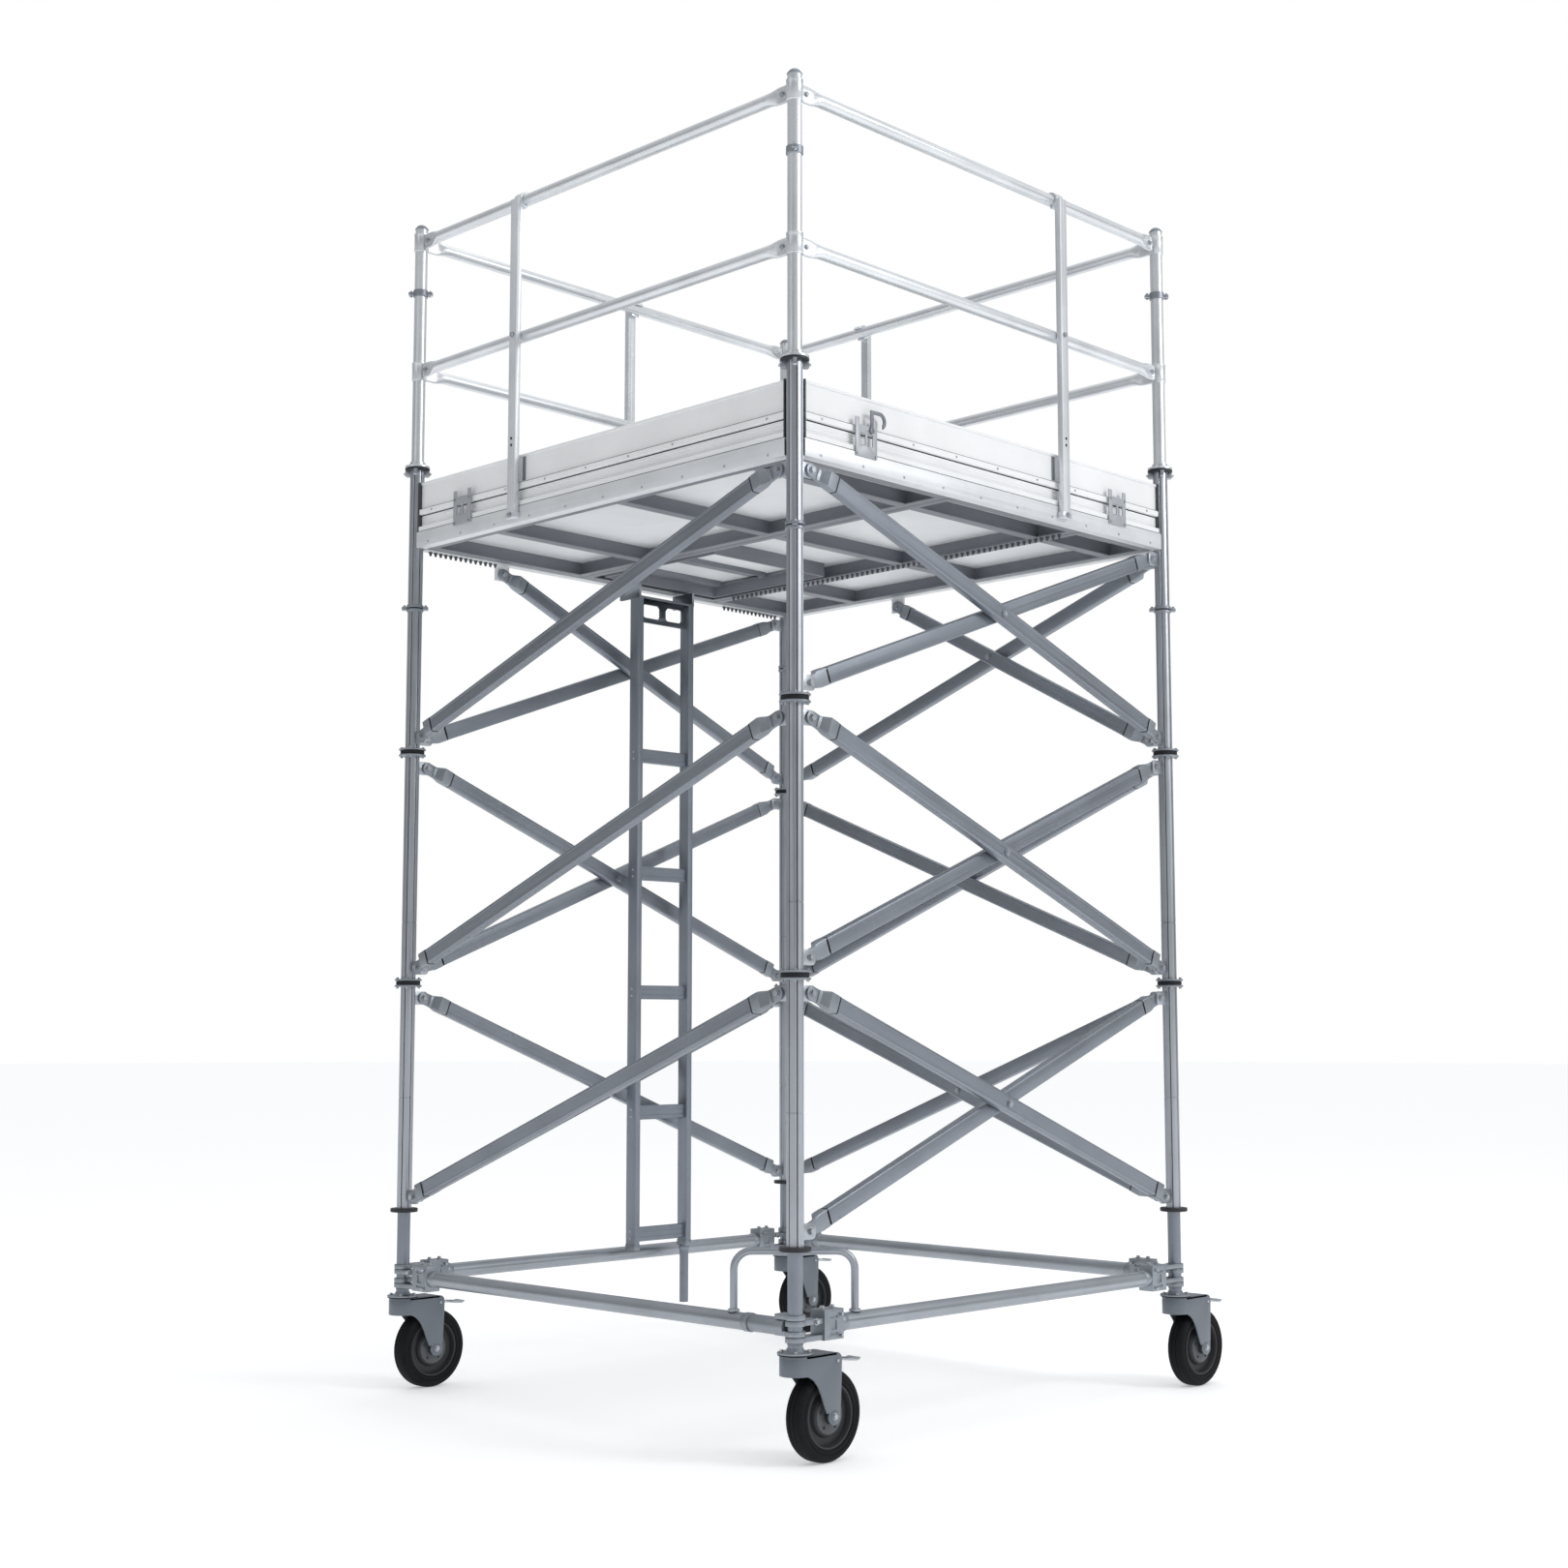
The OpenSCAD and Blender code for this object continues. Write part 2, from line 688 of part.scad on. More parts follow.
// Head plate with two windows and the two arms that reach the rear deck beam
module ladder_hanger() {
    reach = ladder_w / 2 - stile_w / 2;
    beam_face = half - beam_w / 2;
    color([0.6, 0.63, 0.67]) placed() {
        translate([ladder_x, ladder_y, ladder_head_z]) difference() {
            union() {
                block([-reach, -4, -85], [reach, 4, 0]);
                block([-reach - stile_w, -stile_d / 2, 0], [reach + stile_w, stile_d / 2, 8]);
                for (x = [-reach - stile_w, reach + stile_w - 10]) {
                    block([x, -stile_d / 2, 0], [x + 10, beam_face - ladder_y - 0.3, 52]);
                }
            }
            for (x = [-56, 56]) {
                translate([x, 0, -42]) cube([86, 20, 50], center = true);
            }
        }
    }
}

// A bent tube standing on the front and left ledgers, across the front left corner
module corner_hoop() {
    r = 11;
    leg = 240;
    bend = 50;
    top_z = 560;
    foot_z = ledger_z + post_r + 0.4;
    span = leg * sqrt(2);
    color([0.62, 0.65, 0.69]) at_corner(0) translate([leg, 0, 0]) rotate([0, 0, 135]) {
        translate([0, 0, foot_z]) cylinder(r = r, h = top_z - bend - foot_z);
        translate([span, 0, foot_z]) cylinder(r = r, h = top_z - bend - foot_z);
        translate([bend, 0, top_z]) rotate([0, 90, 0]) cylinder(r = r, h = span - 2 * bend);
        translate([bend, 0, top_z - bend]) rotate([90, 0, 0]) rotate([0, 0, 90]) {
            rotate_extrude(angle = 90) translate([bend, 0]) circle(r = r);
        }
        translate([span - bend, 0, top_z - bend]) rotate([90, 0, 0]) {
            rotate_extrude(angle = 90) translate([bend, 0]) circle(r = r);
        }
    }
}

// Castors
module castor_stems() {
    color([0.55, 0.58, 0.62]) for (k = CORNERS) at_corner(k) {
        translate([0, 0, stem_z - 8]) cylinder(r = 50, h = 8);
        translate([0, 0, stem_z]) cylinder(r = slim_r - tube_wall - 0.3, h = 130);
        translate([0, 0, stem_z - 31]) cylinder(r = kingpin_r, h = 24);
        translate([0, 0, stem_z - 31]) cylinder(r = 14, h = 14);
    }
}

// Side of the fork in the x-z plane: square top, tapering back to the round axle eye
module fork_side() {
    eye_r = 24;
    polygon([[0, 242], [0, fork_top], [castor_trail + 12, fork_top], [castor_trail + 31, fork_top - 16],
             [castor_trail + eye_r, wheel_r], [castor_trail - 19.8, wheel_r - 13.6], [32, 224], [16, 238]]);
    translate([castor_trail, wheel_r]) circle(r = eye_r);
}

module castor_fork(k) {
    inner = fork_half_w - fork_t;
    color([0.44, 0.47, 0.5]) at_castor(k) difference() {
        union() {
            for (y = [fork_half_w, -inner]) {
                translate([0, y, 0]) rotate([90, 0, 0]) linear_extrude(fork_t) fork_side();
            }
            translate([0, 0, fork_top - 8]) {
                cylinder(r = fork_half_w, h = 8);
                block([0, -fork_half_w, 0], [castor_trail + 10, fork_half_w, 8]);
            }
            difference() {
                translate([0, 0, 244]) cylinder(r = fork_half_w, h = fork_top - 244);
                translate([0, 0, 243]) cylinder(r = inner, h = fork_top - 243 - 8);
                block([0, -100, 200], [100, 100, 400]);
            }
        }
        translate([0, 0, fork_top - 20]) cylinder(r = kingpin_r + run_play, h = 40);
        translate([castor_trail, 0, wheel_r]) cross_bar(axle_r + 0.05, -60, 60);
        translate([pedal_x, 0, pedal_z]) cross_bar(pedal_r + run_play, -60, 60);
    }
}

// Tyre outline in the r-y plane with round shoulders
function shoulder(r, w, round, steps) = [for (i = [0:steps])
    [r - round + round * sin(90 * i / steps), w - round + round * cos(90 * i / steps)]];
module tyre_profile() {
    upper = shoulder(wheel_r, tyre_w / 2, 18, 5);
    lower = [for (i = [len(upper) - 1:-1:0]) [upper[i][0], -upper[i][1]]];
    polygon(concat([[rim_r, -tyre_w / 2 + 4], [rim_r, tyre_w / 2 - 4], [rim_r + 4, tyre_w / 2]], upper, lower,
                   [[rim_r + 4, -tyre_w / 2]]));
}

module at_wheel(k) {
    at_castor(k) translate([castor_trail, 0, wheel_r]) rotate([90, 0, 0]) children();
}

module tyre(k) {
    color([0.1, 0.1, 0.12]) at_wheel(k) rotate_extrude($fn = 96) tyre_profile();
}

// Rim: hub boss, hub disc, thin dish and barrel
module rim(k) {
    color([0.26, 0.27, 0.28]) at_wheel(k) rotate_extrude($fn = 96) {
        polygon([[axle_r + run_play, -38], [22, -38], [22, -24], [52, -22], [56, -18], [60, -8],
                 [80, -8], [83, -27], [rim_r, -27], [rim_r, 27], [83, 27], [80, 8], [60, 8],
                 [56, 18], [52, 22], [22, 24], [22, 38], [axle_r + run_play, 38]]);
    }
}

module axle(k) {
    color([0.7, 0.71, 0.73]) at_castor(k) translate([castor_trail, 0, wheel_r]) {
        cross_bar(axle_r, -fork_half_w - 6, fork_half_w + 6);
        cross_bar(13, -fork_half_w - 5, -fork_half_w);
        cross_bar(13, fork_half_w, fork_half_w + 8);
    }
}

// Foot lever on a cross shaft between the fork's sides
module brake_pedal(k) {
    inner = fork_half_w - fork_t - 0.5;
    reach = wheel_r - 12;
    color([0.55, 0.58, 0.62]) at_castor(k) translate([pedal_x, 0, pedal_z]) {
        cross_bar(pedal_r, -fork_half_w - 3, fork_half_w + 3);
        cross_bar(9, -inner, inner);
        rotate([0, 6, 0]) block([0, -16, -3], [reach - 10, 16, 3]);
        rotate([0, 6, 0]) block([reach - 50, -26, -3], [reach, 26, 3]);
    }
}

castor_stems();
base_tubes();
standard(0);  // standard_front_left
standard(1);  // standard_front_right
standard(2);  // standard_rear_right
standard(3);  // standard_rear_left
spigots();
guard_post(0);  // guard_post_front_left
guard_post(1);  // guard_post_front_right
guard_post(2);  // guard_post_rear_right
guard_post(3);  // guard_post_rear_left
post_caps();
base_ledgers();
ledger_couplers();
face_braces(FRONT);  // braces_front
face_braces(RIGHT);  // braces_right
face_braces(REAR);  // braces_rear
face_braces(LEFT);  // braces_left
brace_pins();
deck_beams();
deck_panels();
hatch_panel();
toe_board(FRONT);  // toe_board_front
toe_board(RIGHT);  // toe_board_right
toe_board(REAR);  // toe_board_rear
toe_board(LEFT);  // toe_board_left
toe_board_brackets();
guardrail(FRONT);  // guardrail_front
guardrail(RIGHT);  // guardrail_right
guardrail(REAR);  // guardrail_rear
guardrail(LEFT);  // guardrail_left
stanchions();
ladder_stiles();
ladder_rungs();
ladder_hanger();
corner_hoop();
trapdoor();
trapdoor_hinge_pin();
trapdoor_catch();
toe_latch();
castor_fork(0);  // castor_fork_front_left
castor_fork(1);  // castor_fork_front_right
castor_fork(2);  // castor_fork_rear_right
castor_fork(3);  // castor_fork_rear_left
tyre(0);  // tyre_front_left
tyre(1);  // tyre_front_right
tyre(2);  // tyre_rear_right
tyre(3);  // tyre_rear_left
rim(0);  // rim_front_left
rim(1);  // rim_front_right
rim(2);  // rim_rear_right
rim(3);  // rim_rear_left
axle(0);  // axle_front_left
axle(1);  // axle_front_right
axle(2);  // axle_rear_right
axle(3);  // axle_rear_left
brake_pedal(0);  // brake_pedal_front_left
brake_pedal(1);  // brake_pedal_front_right
brake_pedal(2);  // brake_pedal_rear_right
brake_pedal(3);  // brake_pedal_rear_left
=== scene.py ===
"""Looks of a square mobile access tower, in metres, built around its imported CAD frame.

The tower stands on four castors. Its corners are counted anticlockwise from the front left
post, and its faces anticlockwise from the front one. Along a face x runs from its first
corner to its second, and -y points outwards.
"""

import json
import logging
import math
from collections.abc import Callable, Iterable, Sequence
from dataclasses import dataclass, field
from enum import Enum
from functools import cache

import bmesh
import bpy
from mathutils import Matrix, Vector

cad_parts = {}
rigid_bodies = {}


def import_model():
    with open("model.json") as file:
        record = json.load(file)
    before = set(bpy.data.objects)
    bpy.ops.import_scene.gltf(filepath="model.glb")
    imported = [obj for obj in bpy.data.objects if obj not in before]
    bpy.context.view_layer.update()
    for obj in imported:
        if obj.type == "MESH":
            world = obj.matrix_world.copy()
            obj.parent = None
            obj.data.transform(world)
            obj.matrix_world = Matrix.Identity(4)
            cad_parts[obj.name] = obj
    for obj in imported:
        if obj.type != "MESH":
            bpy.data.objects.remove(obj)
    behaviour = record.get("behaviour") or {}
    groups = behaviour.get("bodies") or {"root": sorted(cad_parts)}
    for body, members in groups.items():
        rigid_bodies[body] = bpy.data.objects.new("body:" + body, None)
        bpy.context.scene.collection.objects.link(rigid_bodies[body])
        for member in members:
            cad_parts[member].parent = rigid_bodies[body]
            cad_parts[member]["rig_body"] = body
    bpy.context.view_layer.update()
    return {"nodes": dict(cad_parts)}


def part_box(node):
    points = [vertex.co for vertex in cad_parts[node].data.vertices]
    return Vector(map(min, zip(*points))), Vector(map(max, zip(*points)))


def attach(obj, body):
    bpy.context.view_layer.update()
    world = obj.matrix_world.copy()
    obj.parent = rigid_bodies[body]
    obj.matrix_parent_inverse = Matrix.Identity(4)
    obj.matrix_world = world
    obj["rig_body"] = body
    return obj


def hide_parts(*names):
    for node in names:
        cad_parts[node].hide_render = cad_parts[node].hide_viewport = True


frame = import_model()

LOG = logging.getLogger("tower")
SHARP = math.radians(34)
GOLDEN = 0.618034
TURN = 2 * math.pi

Outline = list[tuple[float, float]]
Spot = tuple[Vector, Vector]


class Corner(Enum):
    """The four posts."""

    FRONT_LEFT = 0
    FRONT_RIGHT = 1
    REAR_RIGHT = 2
    REAR_LEFT = 3

    @property
    def label(self) -> str:
        """The corner as node and body names spell it."""
        return self.name.lower()


class Face(Enum):
    """The four sides."""

    FRONT = 0
    RIGHT = 1
    REAR = 2
    LEFT = 3

    @property
    def label(self) -> str:
        """The face as node names spell it."""
        return self.name.lower()


@dataclass(frozen=True)
class Levels:
    """Heights and widths that several assemblies share.

    Args:
        half: half the distance between post centres.
        post_r: outside radius of a standard.
        slim_r: outside radius of the guard posts, base tubes and ledgers.
        wall: wall of those tubes and of the ladder's tail.
        ledger: centre line of the base ledgers.
        stem: where the castor stems end and the base tubes start.
        rings: heights of the rings on a standard.
        beam: underside of the deck beams.
        deck: foot of the toe boards.
        deck_top: top of the deck panels.
        mid_rail: centre line of the middle guardrails.
        top_rail: centre line of the top guardrails.
        cap: where a guard post ends and its cap starts.
        lug_reach: how far a lug reaches from the post's centre line.
        ladder_x: the ladder's place along x, from the tower's centre line.
        ladder_y: the ladder's place along y, from the tower's centre line.
    """

    half: float = 0.9
    post_r: float = 0.02415
    slim_r: float = 0.0212
    wall: float = 0.0032
    ledger: float = 0.370
    stem: float = 0.307
    rings: tuple[float, ...] = (0.576, 1.328, 2.102, 3.081)
    beam: float = 2.800
    deck: float = 2.853
    deck_top: float = 2.861
    mid_rail: float = 3.420
    top_rail: float = 3.878
    cap: float = 3.925
    lug_reach: float = 0.058
    ladder_x: float = 0.145
    ladder_y: float = 0.800

    @cache
    def centre(self) -> Vector:
        """The middle of the four posts on the floor."""
        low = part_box("standard_front_left")[0]
        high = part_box("standard_rear_right")[1]
        return Vector(((low.x + high.x) / 2, 0, 0))

    def middle(self) -> Matrix:
        """The frame of the tower's own centre line."""
        return Matrix.Translation(self.centre())

    def corner(self, corner: Corner) -> Matrix:
        """The frame of a post, with x and y along the two faces that meet there.

        Args:
            corner: which post.

        Returns:
            The matrix from post coordinates to the row's frame.
        """
        turn = Matrix.Rotation(math.radians(90 * corner.value), 4, "Z")
        return self.middle() @ turn @ Matrix.Translation((-self.half, -self.half, 0))

    def face(self, face: Face) -> Matrix:
        """The frame of a face.

        Args:
            face: which face.

        Returns:
            The matrix from face coordinates to the row's frame.
        """
        turn = Matrix.Rotation(math.radians(90 * face.value), 4, "Z")
        return self.middle() @ turn @ Matrix.Translation((0, -self.half, 0))


LEVELS = Levels()
# How far a sleeve or collar reaches into the tube it sits on.
BITE = 0.001


class Recipe(Enum):
    """How a surface was made, which decides its pattern."""

    DRAWN = "drawn"
    CAST = "cast"
    COATED = "coated"
    PLATED = "plated"
    RUBBER = "rubber"
    MOULDED = "moulded"


class Graph:
    """A shader tree that is being wired."""

    def __init__(self, name: str) -> None:
        """Starts a material with one shader.

        Args:
            name: the material's name.
        """
        self.material = bpy.data.materials.new(name)
        self.material.use_nodes = True
        self.tree = self.material.node_tree
        self.tree.nodes.clear()
        self.shader = self.node("ShaderNodeBsdfPrincipled")
        out = self.node("ShaderNodeOutputMaterial")
        self.wire(self.shader.outputs["BSDF"], out.inputs["Surface"])

    def node(self, kind: str, **settings: object) -> bpy.types.Node:
        """Adds a node and sets its properties.

        Args:
            kind: the node's type name.
            settings: property values.

        Returns:
            The node.
        """
        made = self.tree.nodes.new(kind)
        for key, value in settings.items():
            setattr(made, key, value)
        return made

    def wire(self, source: bpy.types.NodeSocket, target: bpy.types.NodeSocket) -> None:
        """Links two sockets."""
        self.tree.links.new(source, target)

    def place(self) -> bpy.types.NodeSocket:
        """Coordinates fixed to the tower."""
        return self.node("ShaderNodeTexCoord").outputs["Object"]

    def along(self) -> bpy.types.NodeSocket:
        """Coordinates of each part on its own, x along its length."""
        return self.node("ShaderNodeAttribute", attribute_name="lay").outputs["Vector"]

    def tone(self) -> bpy.types.NodeSocket:
        """A number from -0.5 to 0.5 that differs from part to part."""
        return self.node("ShaderNodeAttribute", attribute_name="tone").outputs["Fac"]

    def stretch(self, vector: bpy.types.NodeSocket, scale: tuple[float, ...]) -> bpy.types.NodeSocket:
        """Scales coordinates before a pattern reads them.

        Args:
            vector: the coordinates.
            scale: factors along x, y and z.

        Returns:
            The scaled coordinates.
        """
        mapping = self.node("ShaderNodeMapping")
        mapping.inputs["Scale"].default_value = scale
        self.wire(vector, mapping.inputs["Vector"])
        return mapping.outputs["Vector"]

    def noise(self, vector: bpy.types.NodeSocket, scale: float, detail: float = 4,
              rough: float = 0.55) -> bpy.types.NodeSocket:
        """A cloud pattern.

        Args:
            vector: the coordinates it reads.
            scale: lumps per metre.
            detail: octaves.
            rough: weight of the fine octaves.

        Returns:
            A value of about 0.3 to 0.7.
        """
        made = self.node("ShaderNodeTexNoise")
        for key, value in (("Scale", scale), ("Detail", detail), ("Roughness", rough)):
            made.inputs[key].default_value = value
        self.wire(vector, made.inputs["Vector"])
        return made.outputs["Fac"]

    def cells(self, vector: bpy.types.NodeSocket, scale: float) -> bpy.types.NodeSocket:
        """A patchwork of flat crystals, one value for each."""
        made = self.node("ShaderNodeTexVoronoi")
        made.inputs["Scale"].default_value = scale
        self.wire(vector, made.inputs["Vector"])
        parts = self.node("ShaderNodeSeparateColor")
        self.wire(made.outputs["Color"], parts.inputs["Color"])
        return parts.outputs["Red"]

    def span(self, value: bpy.types.NodeSocket, low: float, high: float,
             to: tuple[float, float] = (0, 1)) -> bpy.types.NodeSocket:
        """Maps the range low to high onto another one, clamped.

        Args:
            value: the value to map.
            low: where the new range starts.
            high: where it ends.
            to: the new range.

        Returns:
            The mapped value.
        """
        made = self.node("ShaderNodeMapRange", clamp=True)
        numbers = (("From Min", low), ("From Max", high), ("To Min", to[0]), ("To Max", to[1]))
        for key, number in numbers:
            made.inputs[key].default_value = number
        self.wire(value, made.inputs["Value"])
        return made.outputs["Result"]

    def sum(self, first: bpy.types.NodeSocket, second: bpy.types.NodeSocket,
            share: float) -> bpy.types.NodeSocket:
        """Adds share times the second value to the first."""
        made = self.node("ShaderNodeMath", operation="MULTIPLY_ADD")
        self.wire(second, made.inputs[0])
        made.inputs[1].default_value = share
        self.wire(first, made.inputs[2])
        return made.outputs[0]

    def blend(self, factor: bpy.types.NodeSocket, low: object, high: object) -> bpy.types.NodeSocket:
        """Mixes two colours.

        Args:
            factor: 0 gives the first and 1 the second.
            low: a colour or a socket.
            high: a colour or a socket.

        Returns:
            The mixed colour.
        """
        made = self.node("ShaderNodeMix", data_type="RGBA")
        self.wire(factor, made.inputs["Factor"])
        for socket, value in ((made.inputs[6], low), (made.inputs[7], high)):
            if isinstance(value, tuple):
                socket.default_value = (*value, 1)
            else:
                self.wire(value, socket)
        return made.outputs[2]


@dataclass(frozen=True)
class Finish:
    """One surface of the tower.

    Args:
        name: the material's name.
        recipe: how the surface was made.
        colour: its mean colour.
        metallic: 0 for a coating or plastic, 1 for bare metal.
        roughness: its mean roughness.
        drift: how far the colour wanders, as a share.
        relief: height of the fine relief in metres.
        coat: weight of a clear coat.
        specular: strength of the plain reflection.
    """

    name: str
    recipe: Recipe
    colour: tuple[float, float, float]
    metallic: float
    roughness: float
    drift: float = 0.08
    relief: float = 0.0001
    coat: float = 0.0
    specular: float = 0.5

    def tint(self, factor: float) -> tuple[float, float, float]:
        """The colour made lighter or darker, kept under full white."""
        r, g, b = (min(0.97, part * factor) for part in self.colour)
        return r, g, b

    def material(self) -> bpy.types.Material:
        """The material, built the first time it is asked for.

        Returns:
            A node material with varied colour, roughness and relief.
        """
        known = bpy.data.materials.get(self.name)
        if known is not None:
            return known
        graph = Graph(self.name)
        where = graph.along() if self.recipe is Recipe.DRAWN else graph.place()
        clouds = graph.noise(where, 5.0, 5)
        factor = graph.sum(graph.span(clouds, 0.34, 0.66), graph.tone(), 0.6)
        colour = graph.blend(factor, self.tint(1 - self.drift), self.tint(1 + self.drift))
        colour, rough, height = self.pattern(graph, where, colour)
        bump = graph.node("ShaderNodeBump")
        bump.inputs["Distance"].default_value = self.relief
        graph.wire(height, bump.inputs["Height"])
        graph.wire(bump.outputs["Normal"], graph.shader.inputs["Normal"])
        graph.wire(colour, graph.shader.inputs["Base Color"])
        graph.wire(rough, graph.shader.inputs["Roughness"])
        graph.shader.inputs["Metallic"].default_value = self.metallic
        graph.shader.inputs["Coat Weight"].default_value = self.coat
        graph.shader.inputs["Coat Roughness"].default_value = 0.25
        graph.shader.inputs["Specular IOR Level"].default_value = self.specular
        return graph.material

    def pattern(self, graph: Graph, where: bpy.types.NodeSocket,
                colour: bpy.types.NodeSocket) -> tuple[bpy.types.NodeSocket, ...]:
        """The part of the material that differs from recipe to recipe.

        Args:
            graph: the tree that is being wired.
            where: the coordinates the patterns read.
            colour: the drifting base colour.

        Returns:
            Colour, roughness and height.
        """
        spread = (self.roughness - 0.06, self.roughness + 0.10)
        if self.recipe is Recipe.DRAWN:
            streaks = graph.noise(graph.stretch(where, (1.4, 190, 190)), 1.0, 3)
            marks = graph.span(graph.noise(graph.stretch(where, (22, 520, 520)), 1.0, 2), 0.68, 0.73)
            scuffs = graph.span(graph.noise(where, 13, 7, 0.72), 0.60, 0.72)
            colour = graph.blend(graph.span(streaks, 0.42, 0.72, (0, 0.45)), colour, self.tint(1.16))
            colour = graph.blend(graph.span(scuffs, 0, 1, (0, 0.30)), colour, self.tint(0.70))
            colour = graph.blend(graph.span(marks, 0, 1, (0, 0.5)), colour, self.tint(1.3))
            rough = graph.sum(graph.span(streaks, 0.35, 0.65, spread), scuffs, 0.16)
            return colour, rough, graph.sum(streaks, marks, -0.5)
        if self.recipe is Recipe.PLATED:
            spangle = graph.cells(where, 260)
            worn = graph.span(graph.noise(where, 60, 6, 0.7), 0.56, 0.68)
            colour = graph.blend(graph.span(spangle, 0, 1, (0, 0.35)), colour, self.tint(1.25))
            colour = graph.blend(graph.span(worn, 0, 1, (0, 0.35)), colour, self.tint(0.6))
            return colour, graph.sum(graph.span(spangle, 0, 1, spread), worn, 0.12), worn
        if self.recipe is Recipe.CAST:
            pits = graph.noise(where, 700, 3, 0.6)
            rubbed = graph.span(graph.noise(where, 26, 7, 0.74), 0.57, 0.66)
            colour = graph.blend(graph.span(rubbed, 0, 1, (0, 0.35)), colour, self.tint(1.35))
            return colour, graph.sum(graph.span(pits, 0.35, 0.65, spread), rubbed, -0.08), pits
        if self.recipe is Recipe.COATED:
            peel = graph.noise(where, 520, 2, 0.4)
            chips = graph.span(graph.noise(where, 44, 9, 0.78), 0.715, 0.73)
            film = graph.span(graph.noise(where, 3.2, 6, 0.62), 0.48, 0.70)
            colour = graph.blend(graph.span(film, 0, 1, (0, 0.20)), colour, self.tint(0.74))
            colour = graph.blend(graph.span(chips, 0, 1, (0, 0.55)), colour, (0.28, 0.29, 0.31))
            rough = graph.sum(graph.span(peel, 0.3, 0.7, spread), film, 0.10)
            return colour, rough, graph.sum(peel, chips, -1.5)
        if self.recipe is Recipe.RUBBER:
            grit = graph.noise(where, 900, 3, 0.7)
            dust = graph.span(graph.noise(where, 15, 7, 0.72), 0.50, 0.74)
            colour = graph.blend(graph.span(dust, 0, 1, (0, 0.22)), colour, (0.045, 0.044, 0.043))
            return colour, graph.sum(graph.span(grit, 0.3, 0.7, spread), dust, 0.12), grit
        grain = graph.noise(where, 1300, 2, 0.5)
        rubbed = graph.span(graph.noise(where, 30, 6, 0.7), 0.56, 0.70)
        colour = graph.blend(graph.span(rubbed, 0, 1, (0, 0.25)), colour, self.tint(1.5))
        return colour, graph.sum(graph.span(grain, 0.3, 0.7, spread), rubbed, -0.06), grain


POST = Finish("post_drawn", Recipe.DRAWN, (0.43, 0.455, 0.495), 0.9, 0.34)
# A darker copy of the drawn aluminium for the base tubes and the ladder: painted shade for the parts low down
# and inside the tower.
LOWER_PAINTED_SHADE = Finish("lower_drawn", Recipe.DRAWN, (0.26, 0.285, 0.325), 0.85, 0.40)
BRACE = Finish("brace_drawn", Recipe.DRAWN, (0.25, 0.272, 0.308), 0.8, 0.40)
LEDGER = Finish("ledger_drawn", Recipe.DRAWN, (0.36, 0.385, 0.42), 0.85, 0.36)
# A lighter copy of the drawn aluminium for the guard posts, guardrails and stanchions: painted light for the
# parts at the top.
RAIL_PAINTED_LIGHT = Finish("rail_drawn", Recipe.DRAWN, (0.72, 0.745, 0.775), 0.75, 0.32)
BEAM = Finish("beam_drawn", Recipe.DRAWN, (0.68, 0.695, 0.715), 0.3, 0.42)
CAST = Finish("cast_alloy", Recipe.CAST, (0.30, 0.325, 0.36), 0.75, 0.42, relief=0.0002)
FLANGE = Finish("flange_dark", Recipe.CAST, (0.035, 0.037, 0.041), 0.5, 0.46, relief=0.0002)
PLATED = Finish("zinc_plated", Recipe.PLATED, (0.44, 0.46, 0.49), 0.95, 0.34)
DARK = Finish("dark_zinc", Recipe.PLATED, (0.075, 0.08, 0.09), 0.6, 0.45)
CAP = Finish("cap_moulded", Recipe.MOULDED, (0.22, 0.25, 0.28), 0.0, 0.50)
WHITE = Finish("sheet_coated", Recipe.COATED, (0.78, 0.795, 0.81), 0.0, 0.42, 0.03, 0.00008)
TOE = Finish("toe_coated", Recipe.COATED, (0.84, 0.848, 0.86), 0.0, 0.38, 0.025, 0.00008)
RIB = Finish("rib_coated", Recipe.COATED, (0.20, 0.215, 0.24), 0.3, 0.46, 0.06)
CLIP = Finish("clip_coated", Recipe.COATED, (0.42, 0.44, 0.47), 0.3, 0.40, 0.05)
GREY = Finish("latch_coated", Recipe.COATED, (0.20, 0.215, 0.24), 0.4, 0.42, 0.06)
# A near-black finish. It is painted shade in the flutes of the standards, in the creases of the toe boards
# and in the stanchion holes. It is also the dark band where a brace meets its cast head, and the dark bands
# between the flanges and collars of the standards.
DARK_JOINT_AND_SHADE = Finish("seam_dark", Recipe.MOULDED, (0.020, 0.022, 0.026), 0.0, 0.6, specular=0.2)
FORK = Finish("fork_enamel", Recipe.COATED, (0.150, 0.172, 0.200), 0.15, 0.36, 0.06, coat=0.15)
TYRE = Finish("tyre_rubber", Recipe.RUBBER, (0.0065, 0.0068, 0.0080), 0.0, 0.62, relief=0.0003, specular=0.16)
RIM = Finish("rim_moulded", Recipe.MOULDED, (0.038, 0.039, 0.043), 0.0, 0.46, specular=0.3)
HUB = Finish("hub_moulded", Recipe.MOULDED, (0.090, 0.095, 0.103), 0.1, 0.42, specular=0.4)
GRIT = Finish("deck_grit", Recipe.MOULDED, (0.50, 0.51, 0.52), 0.0, 0.72, 0.06, 0.0003)


def circle(radius: float, count: int, start: float = 0.0) -> Outline:
    """Points round a circle.

    Args:
        radius: its radius.
        count: how many points.
        start: the first point's angle.

    Returns:
        The points in order.
    """
    angles = [start + TURN * i / count for i in range(count)]
    return [(radius * math.cos(a), radius * math.sin(a)) for a in angles]


